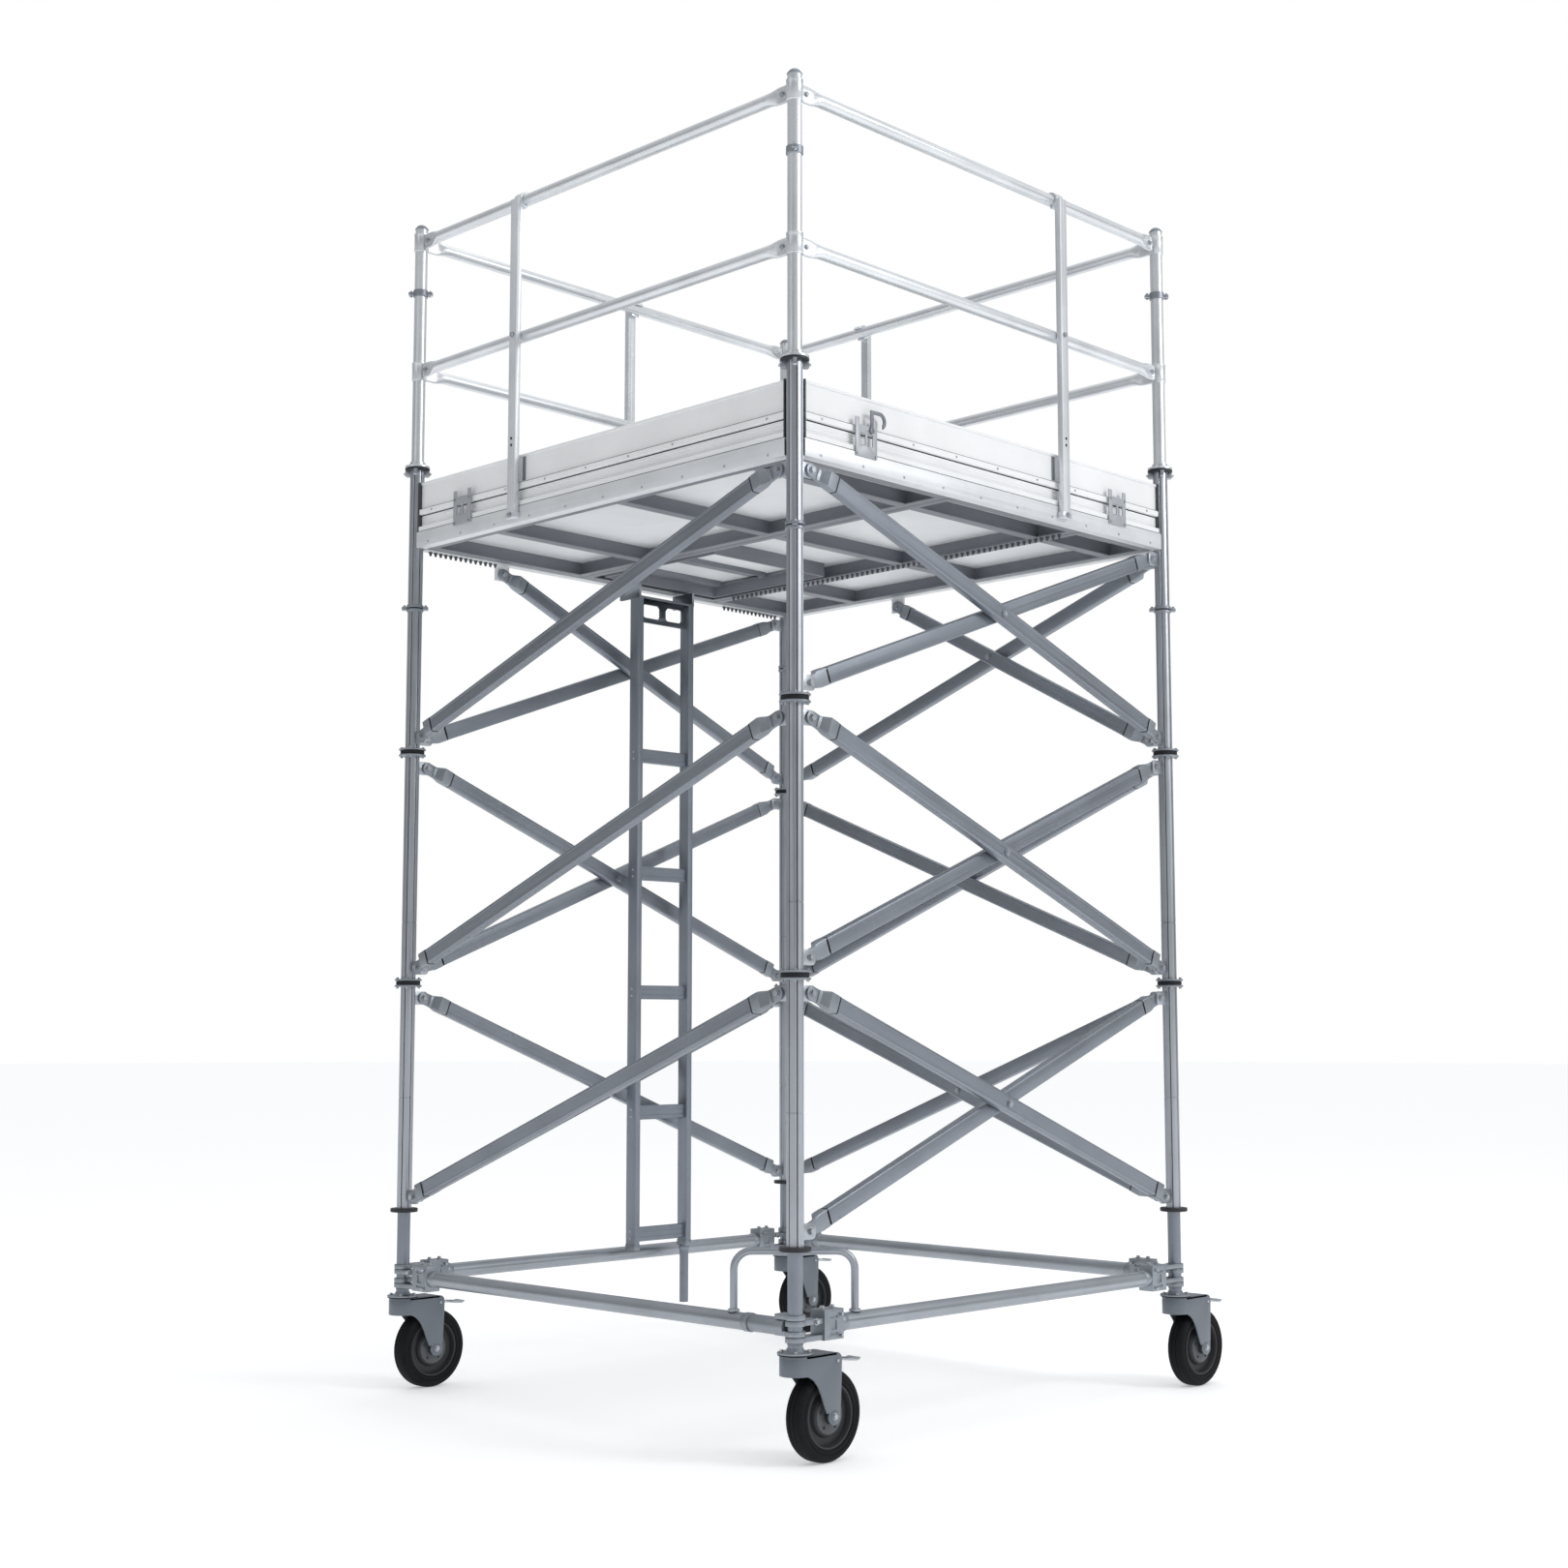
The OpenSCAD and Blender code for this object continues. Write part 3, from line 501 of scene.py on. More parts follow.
def rounded(width: float, height: float, radius: float, steps: int = 3) -> Outline:
    """A rectangle about the origin with round corners.

    Args:
        width: its size along the first axis.
        height: its size along the second axis.
        radius: of its corners.
        steps: segments in each corner.

    Returns:
        The outline, anticlockwise.
    """
    points: Outline = []
    for k, (sx, sy) in enumerate(((1, 1), (-1, 1), (-1, -1), (1, -1))):
        for i in range(steps + 1):
            angle = (k + i / steps) * math.pi / 2
            x = sx * (width / 2 - radius) + radius * math.cos(angle)
            points.append((x, sy * (height / 2 - radius) + radius * math.sin(angle)))
    return points


def fluted(radius: float, flutes: int, depth: float) -> Outline:
    """A round tube's outline with narrow grooves.

    Args:
        radius: over the ridges.
        flutes: how many grooves.
        depth: of a groove.

    Returns:
        The outline, anticlockwise.
    """
    lands = ((0.09, 0.0), (0.20, 0.0), (0.40, 0.0), (0.60, 0.0), (0.80, 0.0), (0.91, 0.0), (0.95, 0.8),
             (1.05, 0.8))
    points: Outline = []
    for k in range(flutes):
        for share, cut in lands:
            angle = TURN * (k + share) / flutes
            r = radius - depth * cut
            points.append((r * math.cos(angle), r * math.sin(angle)))
    return points


def publish(piece: bpy.types.Object, body: str, stands_for: Iterable[str] = ()) -> None:
    """Hands a finished piece to the frame and reports it.

    Args:
        piece: an object at the origin with its place in its mesh.
        body: the body it rides on.
        stands_for: CAD nodes it is shown instead of.
    """
    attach(piece, body)
    if stands_for:
        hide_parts(*stands_for)
    LOG.info("%s rides on %s with %d faces", piece.name, body, len(piece.data.polygons))


def make_object(name: str, mesh: bpy.types.Mesh, finishes: Sequence[Finish]) -> bpy.types.Object:
    """Links a mesh as an object with smooth faces and sharp corners.

    Args:
        name: the piece's name.
        mesh: its mesh.
        finishes: its materials in order.

    Returns:
        The object.
    """
    mesh.name = name
    if not mesh.materials:
        for finish in finishes:
            mesh.materials.append(finish.material())
    mesh.shade_smooth()
    mesh.set_sharp_from_angle(angle=SHARP)
    piece = bpy.data.objects.new(name, mesh)
    bpy.context.scene.collection.objects.link(piece)
    return piece


def soften(mesh: bmesh.types.BMesh, faces: Iterable[bmesh.types.BMFace], width: float) -> None:
    """Rounds the sharp edges of some faces.

    Args:
        mesh: the mesh they are in.
        faces: the faces.
        width: of the rounding.
    """
    edges = {e for f in faces for e in f.edges if len(e.link_faces) == 2 and e.calc_face_angle() > SHARP}
    if edges and width > 0:
        bmesh.ops.bevel(mesh, geom=list(edges), offset=width, segments=2, profile=0.5, affect="EDGES",
                        clamp_overlap=True)


class Shell:
    """Closed parts collected in one mesh. Each keeps its own lay and tone for the finishes."""

    def __init__(self) -> None:
        """Starts an empty mesh."""
        self.mesh = bmesh.new()
        self.lay = self.mesh.verts.layers.float_vector.new("lay")
        self.tone = self.mesh.verts.layers.float.new("tone")
        self.parts = 0

    def skin(
        self,
        loops: Sequence[Sequence[Vector]],
        place: Matrix,
        grain: tuple[int, int, int] = (0, 1, 2),
        ring: bool = False,
        finish: int | Callable[[int], int] = 0,
        soft: float = 0.0,
        lays: Sequence[Sequence[Vector]] | None = None,
    ) -> None:
        """Joins loops of points into one closed part.

        Args:
            loops: each a closed loop, or one point where the part comes to a pole.
            place: from the part's own coordinates to the row's frame.
            grain: which of the part's axes become its lay's x, y and z.
            ring: whether the last loop joins the first.
            finish: the material's number, or a function of the place round the loop.
            soft: width of the rounding on sharp edges.
            lays: the lay of each point where it isn't the point itself.
        """
        self.parts += 1
        drift = Vector((3.7, 1.9, 2.3)) * self.parts
        tone = (self.parts * GOLDEN) % 1 - 0.5
        made = []
        for k, loop in enumerate(loops):
            row = []
            for i, point in enumerate(loop):
                vert = self.mesh.verts.new(place @ point)
                own = lays[k][i] if lays else Vector([point[axis] for axis in grain])
                vert[self.lay] = own + drift
                vert[self.tone] = tone
                row.append(vert)
            made.append(row)
        faces = []
        pick = finish if callable(finish) else lambda _: finish
        pairs = list(zip(made, made[1:])) + ([(made[-1], made[0])] if ring else [])
        for first, second in pairs:
            count = max(len(first), len(second))
            for i in range(count):
                j = (i + 1) % count
                corners = [first[i % len(first)], first[j % len(first)], second[j % len(second)],
                           second[i % len(second)]]
                face = self.mesh.faces.new(list(dict.fromkeys(corners)))
                face.material_index = pick(i)
                faces.append(face)
        if not ring:
            for row in (made[0], made[-1]):
                if len(row) > 2:
                    face = self.mesh.faces.new(row)
                    face.material_index = pick(0)
                    faces.append(face)
        bmesh.ops.recalc_face_normals(self.mesh, faces=faces)
        soften(self.mesh, faces, soft)

    def bar(self, outline: Outline, stations: Sequence[float], place: Matrix, **options: object) -> None:
        """Extrudes an outline in y and z along x.

        Args:
            outline: the section.
            stations: the places along x, in order.
            place: from bar coordinates to the row's frame.
            options: further arguments of skin().
        """
        self.skin([[Vector((x, y, z)) for y, z in outline] for x in stations], place, **options)

    def block(self, low: Sequence[float], high: Sequence[float], place: Matrix, soft: float = 0.001,
              **options: object) -> None:
        """A block between two corners, with soft edges.

        Args:
            low: its lowest corner.
            high: its highest corner.
            place: from block coordinates to the row's frame.
            soft: width of its rounding.
            options: further arguments of skin().
        """
        corners = [(low[1], low[2]), (high[1], low[2]), (high[1], high[2]), (low[1], high[2])]
        self.bar(corners, (low[0], high[0]), place, soft=soft, **options)

    def plate(self, outline: Outline, y0: float, y1: float, place: Matrix, **options: object) -> None:
        """Extrudes an outline in x and z from y0 to y1.

        Args:
            outline: the plate's outline.
            y0: one face.
            y1: the other face.
            place: from plate coordinates to the row's frame.
            options: further arguments of skin().
        """
        self.skin([[Vector((x, y, z)) for x, z in outline] for y in (y0, y1)], place, **options)

    def turned(self, profile: Outline, place: Matrix, count: int = 40, hollow: bool = False,
               **options: object) -> None:
        """Turns a profile of radius and height about z.

        Args:
            profile: radius and height in order, closed on itself where the part is hollow.
            place: from turned coordinates to the row's frame.
            count: segments round the axis.
            hollow: whether the profile is a closed loop.
            options: further arguments of skin().
        """
        loops = []
        for radius, z in profile:
            points = [(0.0, 0.0)] if radius < 1e-6 else circle(radius, count)
            loops.append([Vector((x, y, z)) for x, y in points])
        self.skin(loops, place, grain=(2, 0, 1), ring=hollow, **options)

    def pipe(self, path: Sequence[Vector], radius: float, place: Matrix, count: int = 24) -> None:
        """A round bar along a path.

        Args:
            path: the points of its centre line.
            radius: its radius.
            place: from path coordinates to the row's frame.
            count: segments round it.
        """
        loops, lays, run = [], [], 0.0
        side = Vector((0, 0, 1))
        for i, point in enumerate(path):
            ahead = (path[min(i + 1, len(path) - 1)] - path[max(i - 1, 0)]).normalized()
            side = ((side - ahead * side.dot(ahead)).normalized() if abs(side.dot(ahead)) < 0.99
                    else ahead.orthogonal().normalized())
            other = ahead.cross(side)
            run += (point - path[i - 1]).length if i else 0.0
            loops.append([point + side * u + other * v for u, v in circle(radius, count)])
            lays.append([Vector((run, u, v)) for u, v in circle(radius, count)])
        self.skin(loops, place, lays=lays)

    def piece(self, name: str, finishes: Sequence[Finish], body: str, slot: str,
              stands_for: Iterable[str] = ()) -> bpy.types.Object:
        """Turns the collected parts into a piece and publishes it.

        Args:
            name: its name.
            finishes: its materials in order.
            body: the body it rides on.
            slot: the record's material slot; not used.
            stands_for: CAD nodes it is shown instead of.

        Returns:
            The piece.
        """
        mesh = bpy.data.meshes.new(name)
        self.mesh.to_mesh(mesh)
        self.mesh.free()
        made = make_object(name, mesh, finishes)
        publish(made, body, stands_for)
        return made


def islands(mesh: bmesh.types.BMesh) -> list[list[bmesh.types.BMVert]]:
    """The separate parts of a mesh.

    Args:
        mesh: the mesh.

    Returns:
        The vertices of each part.
    """
    left, found = set(mesh.verts), []
    for start in mesh.verts:
        if start not in left:
            continue
        left.discard(start)
        group, stack = [], [start]
        while stack:
            vert = stack.pop()
            group.append(vert)
            for edge in vert.link_edges:
                other = edge.other_vert(vert)
                if other in left:
                    left.discard(other)
                    stack.append(other)
        found.append(group)
    return found


def refine(
    node: str,
    finishes: Sequence[Finish],
    soft: float = 0.001,
    sort: Callable[[Vector, Vector], int] | None = None,
    round_off: Callable[[bmesh.types.BMEdge], float] | None = None,
) -> bpy.types.Object:
    """A finished piece from a CAD node whose shape is right: merged, with soft edges.

    Args:
        node: the CAD node it stands for.
        finishes: its materials in order.
        soft: width of the rounding on sharp edges.
        sort: gives a face's material number from its centre and normal.
        round_off: gives the radius for an edge that is rounded more, or 0.

    Returns:
        The piece.
    """
    source = frame["nodes"][node]
    mesh = bmesh.new()
    mesh.from_mesh(source.data)
    bmesh.ops.remove_doubles(mesh, verts=mesh.verts, dist=1e-5)
    bmesh.ops.dissolve_limit(mesh, angle_limit=0.008, verts=mesh.verts, edges=mesh.edges)
    if round_off is not None:
        chosen = [(e, round_off(e)) for e in mesh.edges]
        for radius in sorted({r for _, r in chosen if r > 0}):
            edges = [e for e, r in chosen if r == radius and e.is_valid]
            bmesh.ops.bevel(mesh, geom=edges, offset=radius, segments=5, profile=0.5, affect="EDGES",
                            clamp_overlap=True)
    soften(mesh, mesh.faces, soft)
    lay = mesh.verts.layers.float_vector.new("lay")
    tone = mesh.verts.layers.float.new("tone")
    for number, group in enumerate(islands(mesh)):
        spans = [max(v.co[a] for v in group) - min(v.co[a] for v in group) for a in range(3)]
        first = spans.index(max(spans))
        order = [first, (first + 1) % 3, (first + 2) % 3]
        for vert in group:
            vert[lay] = Vector([vert.co[a] for a in order])
            vert[tone] = (number * GOLDEN) % 1 - 0.5
    for face in mesh.faces:
        face.material_index = sort(face.calc_center_median(), face.normal) if sort else 0
    made = bpy.data.meshes.new(node)
    mesh.to_mesh(made)
    mesh.free()
    piece = make_object(f"{node}_finished", made, finishes)
    publish(piece, source["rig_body"], (node,))
    return piece


class Scatter:
    """A node tree that sets one small turned head on every point of a mesh."""

    tree: bpy.types.NodeTree | None = None
    sockets: dict[str, str] = {}

    @classmethod
    def build(cls) -> None:
        """Builds the tree once."""
        if cls.tree is not None:
            return
        tree = bpy.data.node_groups.new("heads_on_points", "GeometryNodeTree")
        face = tree.interface
        inputs = (
            ("Points", "NodeSocketGeometry"), ("Sides", "NodeSocketInt"), ("Width", "NodeSocketFloat"),
            ("Top Share", "NodeSocketFloat"), ("Height", "NodeSocketFloat"),
            ("Washer Width", "NodeSocketFloat"),
            ("Washer Height", "NodeSocketFloat"), ("Finish", "NodeSocketMaterial"),
        )
        for name, kind in inputs:
            cls.sockets[name] = face.new_socket(name, in_out="INPUT", socket_type=kind).identifier
        face.new_socket("Geometry", in_out="OUTPUT", socket_type="NodeSocketGeometry")
        nodes, wire = tree.nodes, tree.links.new
        given, out = nodes.new("NodeGroupInput"), nodes.new("NodeGroupOutput")

        def maths(operation: str, first: bpy.types.NodeSocket,
                  second: bpy.types.NodeSocket | float) -> bpy.types.NodeSocket:
            """One sum of two values."""
            made = nodes.new("ShaderNodeMath")
            made.operation = operation
            wire(first, made.inputs[0])
            if isinstance(second, float):
                made.inputs[1].default_value = second
            else:
                wire(second, made.inputs[1])
            return made.outputs[0]

        def raised(mesh: bpy.types.NodeSocket, height: bpy.types.NodeSocket) -> bpy.types.NodeSocket:
            """A mesh lifted along z."""
            vector, moved = nodes.new("ShaderNodeCombineXYZ"), nodes.new("GeometryNodeTransform")
            wire(height, vector.inputs["Z"])
            wire(mesh, moved.inputs["Geometry"])
            wire(vector.outputs[0], moved.inputs["Translation"])
            return moved.outputs[0]

        head, washer = nodes.new("GeometryNodeMeshCone"), nodes.new("GeometryNodeMeshCylinder")
        wire(given.outputs["Sides"], head.inputs["Vertices"])
        radius = maths("MULTIPLY", given.outputs["Width"], 0.5)
        wire(radius, head.inputs["Radius Bottom"])
        wire(maths("MULTIPLY", radius, given.outputs["Top Share"]), head.inputs["Radius Top"])
        wire(given.outputs["Height"], head.inputs["Depth"])
        washer.inputs["Vertices"].default_value = 18
        wire(maths("MULTIPLY", given.outputs["Washer Width"], 0.5), washer.inputs["Radius"])
        wire(given.outputs["Washer Height"], washer.inputs["Depth"])
        join, spread = nodes.new("GeometryNodeJoinGeometry"), nodes.new("GeometryNodeInstanceOnPoints")
        wire(raised(head.outputs["Mesh"], given.outputs["Washer Height"]), join.inputs[0])
        wire(raised(washer.outputs["Mesh"], maths("MULTIPLY", given.outputs["Washer Height"], 0.5)),
             join.inputs[0])
        facing, align = (nodes.new("GeometryNodeInputNamedAttribute"),
                         nodes.new("FunctionNodeAlignRotationToVector"))
        facing.data_type = "FLOAT_VECTOR"
        facing.inputs["Name"].default_value = "facing"
        align.axis = "Z"
        wire(facing.outputs["Attribute"], align.inputs["Vector"])
        wire(given.outputs["Points"], spread.inputs["Points"])
        wire(join.outputs[0], spread.inputs["Instance"])
        wire(align.outputs["Rotation"], spread.inputs["Rotation"])
        real, dress = nodes.new("GeometryNodeRealizeInstances"), nodes.new("GeometryNodeSetMaterial")
        wire(spread.outputs["Instances"], real.inputs["Geometry"])
        wire(real.outputs["Geometry"], dress.inputs["Geometry"])
        wire(given.outputs["Finish"], dress.inputs["Material"])
        wire(dress.outputs["Geometry"], out.inputs["Geometry"])
        cls.tree = tree


@dataclass
class Heads:
    """Bolt heads, rivets, studs or teeth of one size, set on points.

    Args:
        sides: 6 for a hexagon head, more for a round one.
        width: over the sides at the foot.
        height: of the head.
        top_share: the top's width as a share of the foot's.
        washer_width: over the washer under it.
        washer_height: the washer's thickness.
        finish: its finish.
        spots: where each one sits and which way it points.
    """

    sides: int
    width: float
    height: float
    top_share: float = 0.92
    washer_width: float = 0.0
    washer_height: float = 0.0004
    finish: Finish = PLATED
    spots: list[Spot] = field(default_factory=list)

    def add(self, place: Matrix, point: Sequence[float], facing: Sequence[float]) -> None:
        """Adds one.

        Args:
            place: the frame of the point.
            point: where its foot is.
            facing: which way it points.
        """
        self.spots.append((place @ Vector(point), (place.to_3x3() @ Vector(facing)).normalized()))

    def piece(self, name: str, body: str, slot: str, stands_for: Iterable[str] = ()) -> bpy.types.Object:
        """Runs the tree over the points and publishes the plain mesh.

        Args:
            name: the piece's name.
            body: the body it rides on.
            slot: the record's material slot; not used.
            stands_for: CAD nodes it is shown instead of.

        Returns:
            The piece.
        """
        Scatter.build()
        points = bpy.data.meshes.new(f"{name}_points")
        points.from_pydata([tuple(p) for p, _ in self.spots], [], [])
        facing = points.attributes.new("facing", "FLOAT_VECTOR", "POINT")
        for i, (_, way) in enumerate(self.spots):
            facing.data[i].vector = way
        holder = bpy.data.objects.new(f"{name}_holder", points)
        bpy.context.scene.collection.objects.link(holder)
        modifier = holder.modifiers.new("heads", "NODES")
        modifier.node_group = Scatter.tree
        values = {
            "Sides": self.sides, "Width": self.width, "Top Share": self.top_share, "Height": self.height,
            "Washer Width": self.washer_width or self.width * 0.96, "Washer Height": self.washer_height,
            "Finish": self.finish.material(),
        }
        for key, value in values.items():
            modifier[Scatter.sockets[key]] = value
        bpy.context.view_layer.update()
        graph = bpy.context.evaluated_depsgraph_get()
        mesh = bpy.data.meshes.new_from_object(holder.evaluated_get(graph))
        bpy.data.objects.remove(holder)
        made = make_object(name, mesh, (self.finish,))
        publish(made, body, stands_for)
        return made


TOWER = "tower"


@dataclass
class Standards:
    """The four standards: fluted tubes with their flanges, lugs and collars.

    Args:
        flutes: grooves round a tube.
        groove: their depth.
        seams: heights where a tube shows a joint line.
    """

    flutes: int = 6
    groove: float = 0.0014
    ring_r: float = 0.045
    core_r: float = 0.040
    collar_z: float = 2.595
    lug_rise: float = 0.050
    lug_drop: float = 0.035
    lug_half: float = 0.022
    seams: tuple[float, ...] = (0.950, 1.530)
    bolts: Heads = field(
        default_factory=lambda: Heads(6, 0.0095, 0.0045, washer_width=0.0115, washer_height=0.0012))

    def tube(self, shell: Shell, place: Matrix) -> None:
        """The three fluted lengths of one standard.

        Args:
            shell: what they are added to.
            place: the post's frame.
        """
        rings = LEVELS.rings
        for low, high in zip(rings, rings[1:]):
            stations = [(low + 0.0004, 0.0), (high - 0.0004, 0.0)]
            for seam in self.seams:
                if low < seam < high:
                    stations += [(seam - 0.0016, 0.0), (seam - 0.0008, 0.0014), (seam + 0.0008, 0.0014),
                                 (seam + 0.0016, 0.0)]
            loops = []
            for z, cut in sorted(stations):
                outline = fluted(LEVELS.post_r - cut, self.flutes, self.groove)
                loops.append([Vector((x, y, z)) for x, y in outline])
            # The bottom of each flute takes the near-black finish: painted shade in the grooves.
            shell.skin(loops, place, grain=(2, 0, 1), finish=lambda i: 2 if i % 8 == 6 else 0)

    def disc(self, shell: Shell, place: Matrix, low: float, high: float, radius: float,
             finish: int = 1) -> None:
        """A flange or collar round the tube, with rounded rims.

        Args:
            shell: what it is added to.
            place: the post's frame.
            low: its underside.
            high: its top.
            radius: its radius.
            finish: its material number.
        """
        edge = min(0.0016, (high - low) / 4)
        inner = LEVELS.post_r - 0.002
        profile = [(inner, low), (radius - edge, low), (radius, low + edge), (radius, high - edge),
                   (radius - edge, high), (inner, high)]
        shell.turned(profile, place, 48, hollow=True, finish=finish)

    def lug(self, shell: Shell, place: Matrix, z: float) -> None:
        """A lug for the brace bolts, pointing along the face.

        Args:
            shell: what it is added to.
            place: the post's frame, turned to the face.
            z: its middle.
        """
        tip, half, cut = LEVELS.lug_reach + 0.020, self.lug_half, 0.012
        outline = [(0.018, z - half), (tip - cut, z - half)]
        outline += [(tip - cut + cut * math.sin(a), z - half + cut - cut * math.cos(a))
                    for a in (0.5, 1.05, 1.57)]
        outline += [(tip - cut + cut * math.cos(a), z + half - cut + cut * math.sin(a))
                    for a in (0.0, 0.52, 1.05, 1.57)]
        outline += [(0.018, z + half)]
        shell.plate(outline, -0.004, 0.004, place, soft=0.0007)

    def build(self) -> None:
        """Builds all four standards and their bolts."""
        rings = LEVELS.rings
        for corner in Corner:
            place = LEVELS.corner(corner)
            other = place @ Matrix.Rotation(math.radians(90), 4, "Z")
            shell = Shell()
            self.tube(shell, place)
            self.disc(shell, place, rings[0], rings[0] + 0.012, self.ring_r)
            for z in rings[1:3]:
                self.disc(shell, place, z - 0.013, z - 0.007, self.ring_r, 3)
                self.disc(shell, place, z + 0.007, z + 0.013, self.ring_r, 3)
                self.disc(shell, place, z - 0.0068, z + 0.0068, self.core_r, 2)
                for k in range(4):
                    turn = place @ Matrix.Rotation(math.radians(45 + 90 * k), 4, "Z")
                    self.bolts.add(turn, (0.036, 0, z + 0.013), (0, 0, 1))
                    self.bolts.add(turn, (0.036, 0, z - 0.013), (0, 0, -1))
            self.disc(shell, place, rings[3] - 0.008, rings[3] - 0.0003, 0.042)
            for k in range(4):
                turn = place @ Matrix.Rotation(math.radians(45 + 90 * k), 4, "Z")
                hook = [(0.022, -0.030), (0.037, -0.030), (0.041, -0.026), (0.041, -0.007), (0.022, -0.007)]
                shell.plate([(x, rings[3] + z) for x, z in hook], -0.006, 0.006, turn, soft=0.0008)
                self.bolts.add(turn, (0.041, 0, rings[3] - 0.019), (1, 0, 0))
            for low, high, out, finish in ((-0.012, -0.002, 0.004, 3), (-0.0018, 0.0018, 0.0026, 2),
                                           (0.002, 0.012, 0.004, 3)):
                self.disc(shell, place, self.collar_z + low, self.collar_z + high, LEVELS.post_r + out,
                          finish)
            for angle in (45, 225):
                turn = place @ Matrix.Rotation(math.radians(angle), 4, "Z")
                z = self.collar_z
                shell.block((0.022, -0.008, z - 0.006), (LEVELS.post_r + 0.020, 0.008, z + 0.006), turn,
                            0.0012, finish=3)
                self.bolts.add(turn, (0.036, 0, z + 0.006), (0, 0, 1))
            lifts = [(rings[i] + self.lug_rise, (rings[i + 1] - self.lug_rise) if i < 2
                      else LEVELS.beam - self.lug_drop) for i in range(3)]
            previous = Face((corner.value + 3) % 4)
            for i, (low, high) in enumerate(lifts):
                self.lug(shell, place, low)
                if corner.value != Face.LEFT.value:
                    self.lug(shell, place, high)
                if previous is not Face.LEFT:
                    self.lug(shell, other, low)
                if i < 2 or previous in (Face.FRONT, Face.LEFT):
                    self.lug(shell, other, high)
            shell.piece(f"standard_{corner.label}_finished", (POST, FLANGE, DARK_JOINT_AND_SHADE, CAST), TOWER,
                        "post_aluminium", (f"standard_{corner.label}",))
        self.bolts.piece("flange_bolts", TOWER, "plain_steel")


@dataclass
class GuardPosts:
    """The slim posts round the deck, with the rail sleeves and the domed caps."""

    sleeve_r: float = 0.025
    sleeve_half: float = 0.032
    collar_z: float = 3.697
    dome: float = 0.014

    def build(self) -> None:
        """Builds the four posts and their caps."""
        r, foot, top = LEVELS.slim_r, LEVELS.rings[3], LEVELS.cap
        caps, bolts = Shell(), Heads(6, 0.0095, 0.0045)
        for corner in Corner:
            place, shell = LEVELS.corner(corner), Shell()
            wall = LEVELS.wall
            shell.turned([(r - wall, foot), (r, foot), (r, top), (r - wall, top)], place, 48, hollow=True)
            shell.turned([(r - BITE, foot), (0.0408, foot), (0.042, foot + 0.0012), (0.042, foot + 0.0058),
                          (0.0408, foot + 0.007),
                          (r + 0.005, foot + 0.007), (r + 0.005, foot + 0.020), (r + 0.0038, foot + 0.021),
                          (r - BITE, foot + 0.021)],
                         place, 48, hollow=True)
            for z in (LEVELS.mid_rail, LEVELS.top_rail):
                low, high, rim = z - self.sleeve_half, z + self.sleeve_half, self.sleeve_r
                shell.turned([(r - BITE, low), (rim - 0.0012, low), (rim, low + 0.0015), (rim, low + 0.006),
                              (rim - 0.0006, low + 0.007),
                              (rim - 0.0006, high - 0.007), (rim, high - 0.006), (rim, high - 0.0015),
                              (rim - 0.0012, high), (r - BITE, high)],
                             place, 48, hollow=True)
            z = self.collar_z
            shell.turned([(r - BITE, z - 0.012), (r + 0.003, z - 0.012), (r + 0.004, z - 0.0108),
                          (r + 0.004, z + 0.0108),
                          (r + 0.003, z + 0.012), (r - BITE, z + 0.012)], place, 48, hollow=True, finish=1)
            for angle in (45, 225):
                turn = place @ Matrix.Rotation(math.radians(angle), 4, "Z")
                shell.block((r - 0.002, -0.008, z - 0.006), (r + 0.020, 0.008, z + 0.006), turn, 0.0012,
                            finish=1)
                bolts.add(turn, (0.033, 0, z + 0.006), (0, 0, 1))
                bolts.add(turn, (0.033, 0, z - 0.006), (0, 0, -1))
            shell.piece(f"guard_post_{corner.label}_finished", (RAIL_PAINTED_LIGHT, CAST), TOWER, "rail_aluminium",
                        (f"guard_post_{corner.label}",))
            rim = r + 0.0015
            bend = (r * r + self.dome * self.dome) / (2 * self.dome)
            profile = [(0.0, top - 0.024), (r - wall - 0.0004, top - 0.024), (r - wall - 0.0004, top),
                       (rim - 0.0006, top), (rim, top + 0.0008), (rim, top + 0.0034),
                       (rim - 0.0008, top + 0.004)]
            for i in range(9):
                angle = math.asin(r / bend) * (1 - i / 9)
                profile.append((bend * math.sin(angle),
                                top + 0.004 + self.dome - bend + bend * math.cos(angle)))
            caps.turned([*profile, (0.0, top + 0.004 + self.dome)], place, 40)
        caps.piece("post_caps_finished", (CAP,), TOWER, "cap_grey", ("post_caps",))
        bolts.piece("guard_post_bolts", TOWER, "plain_steel")


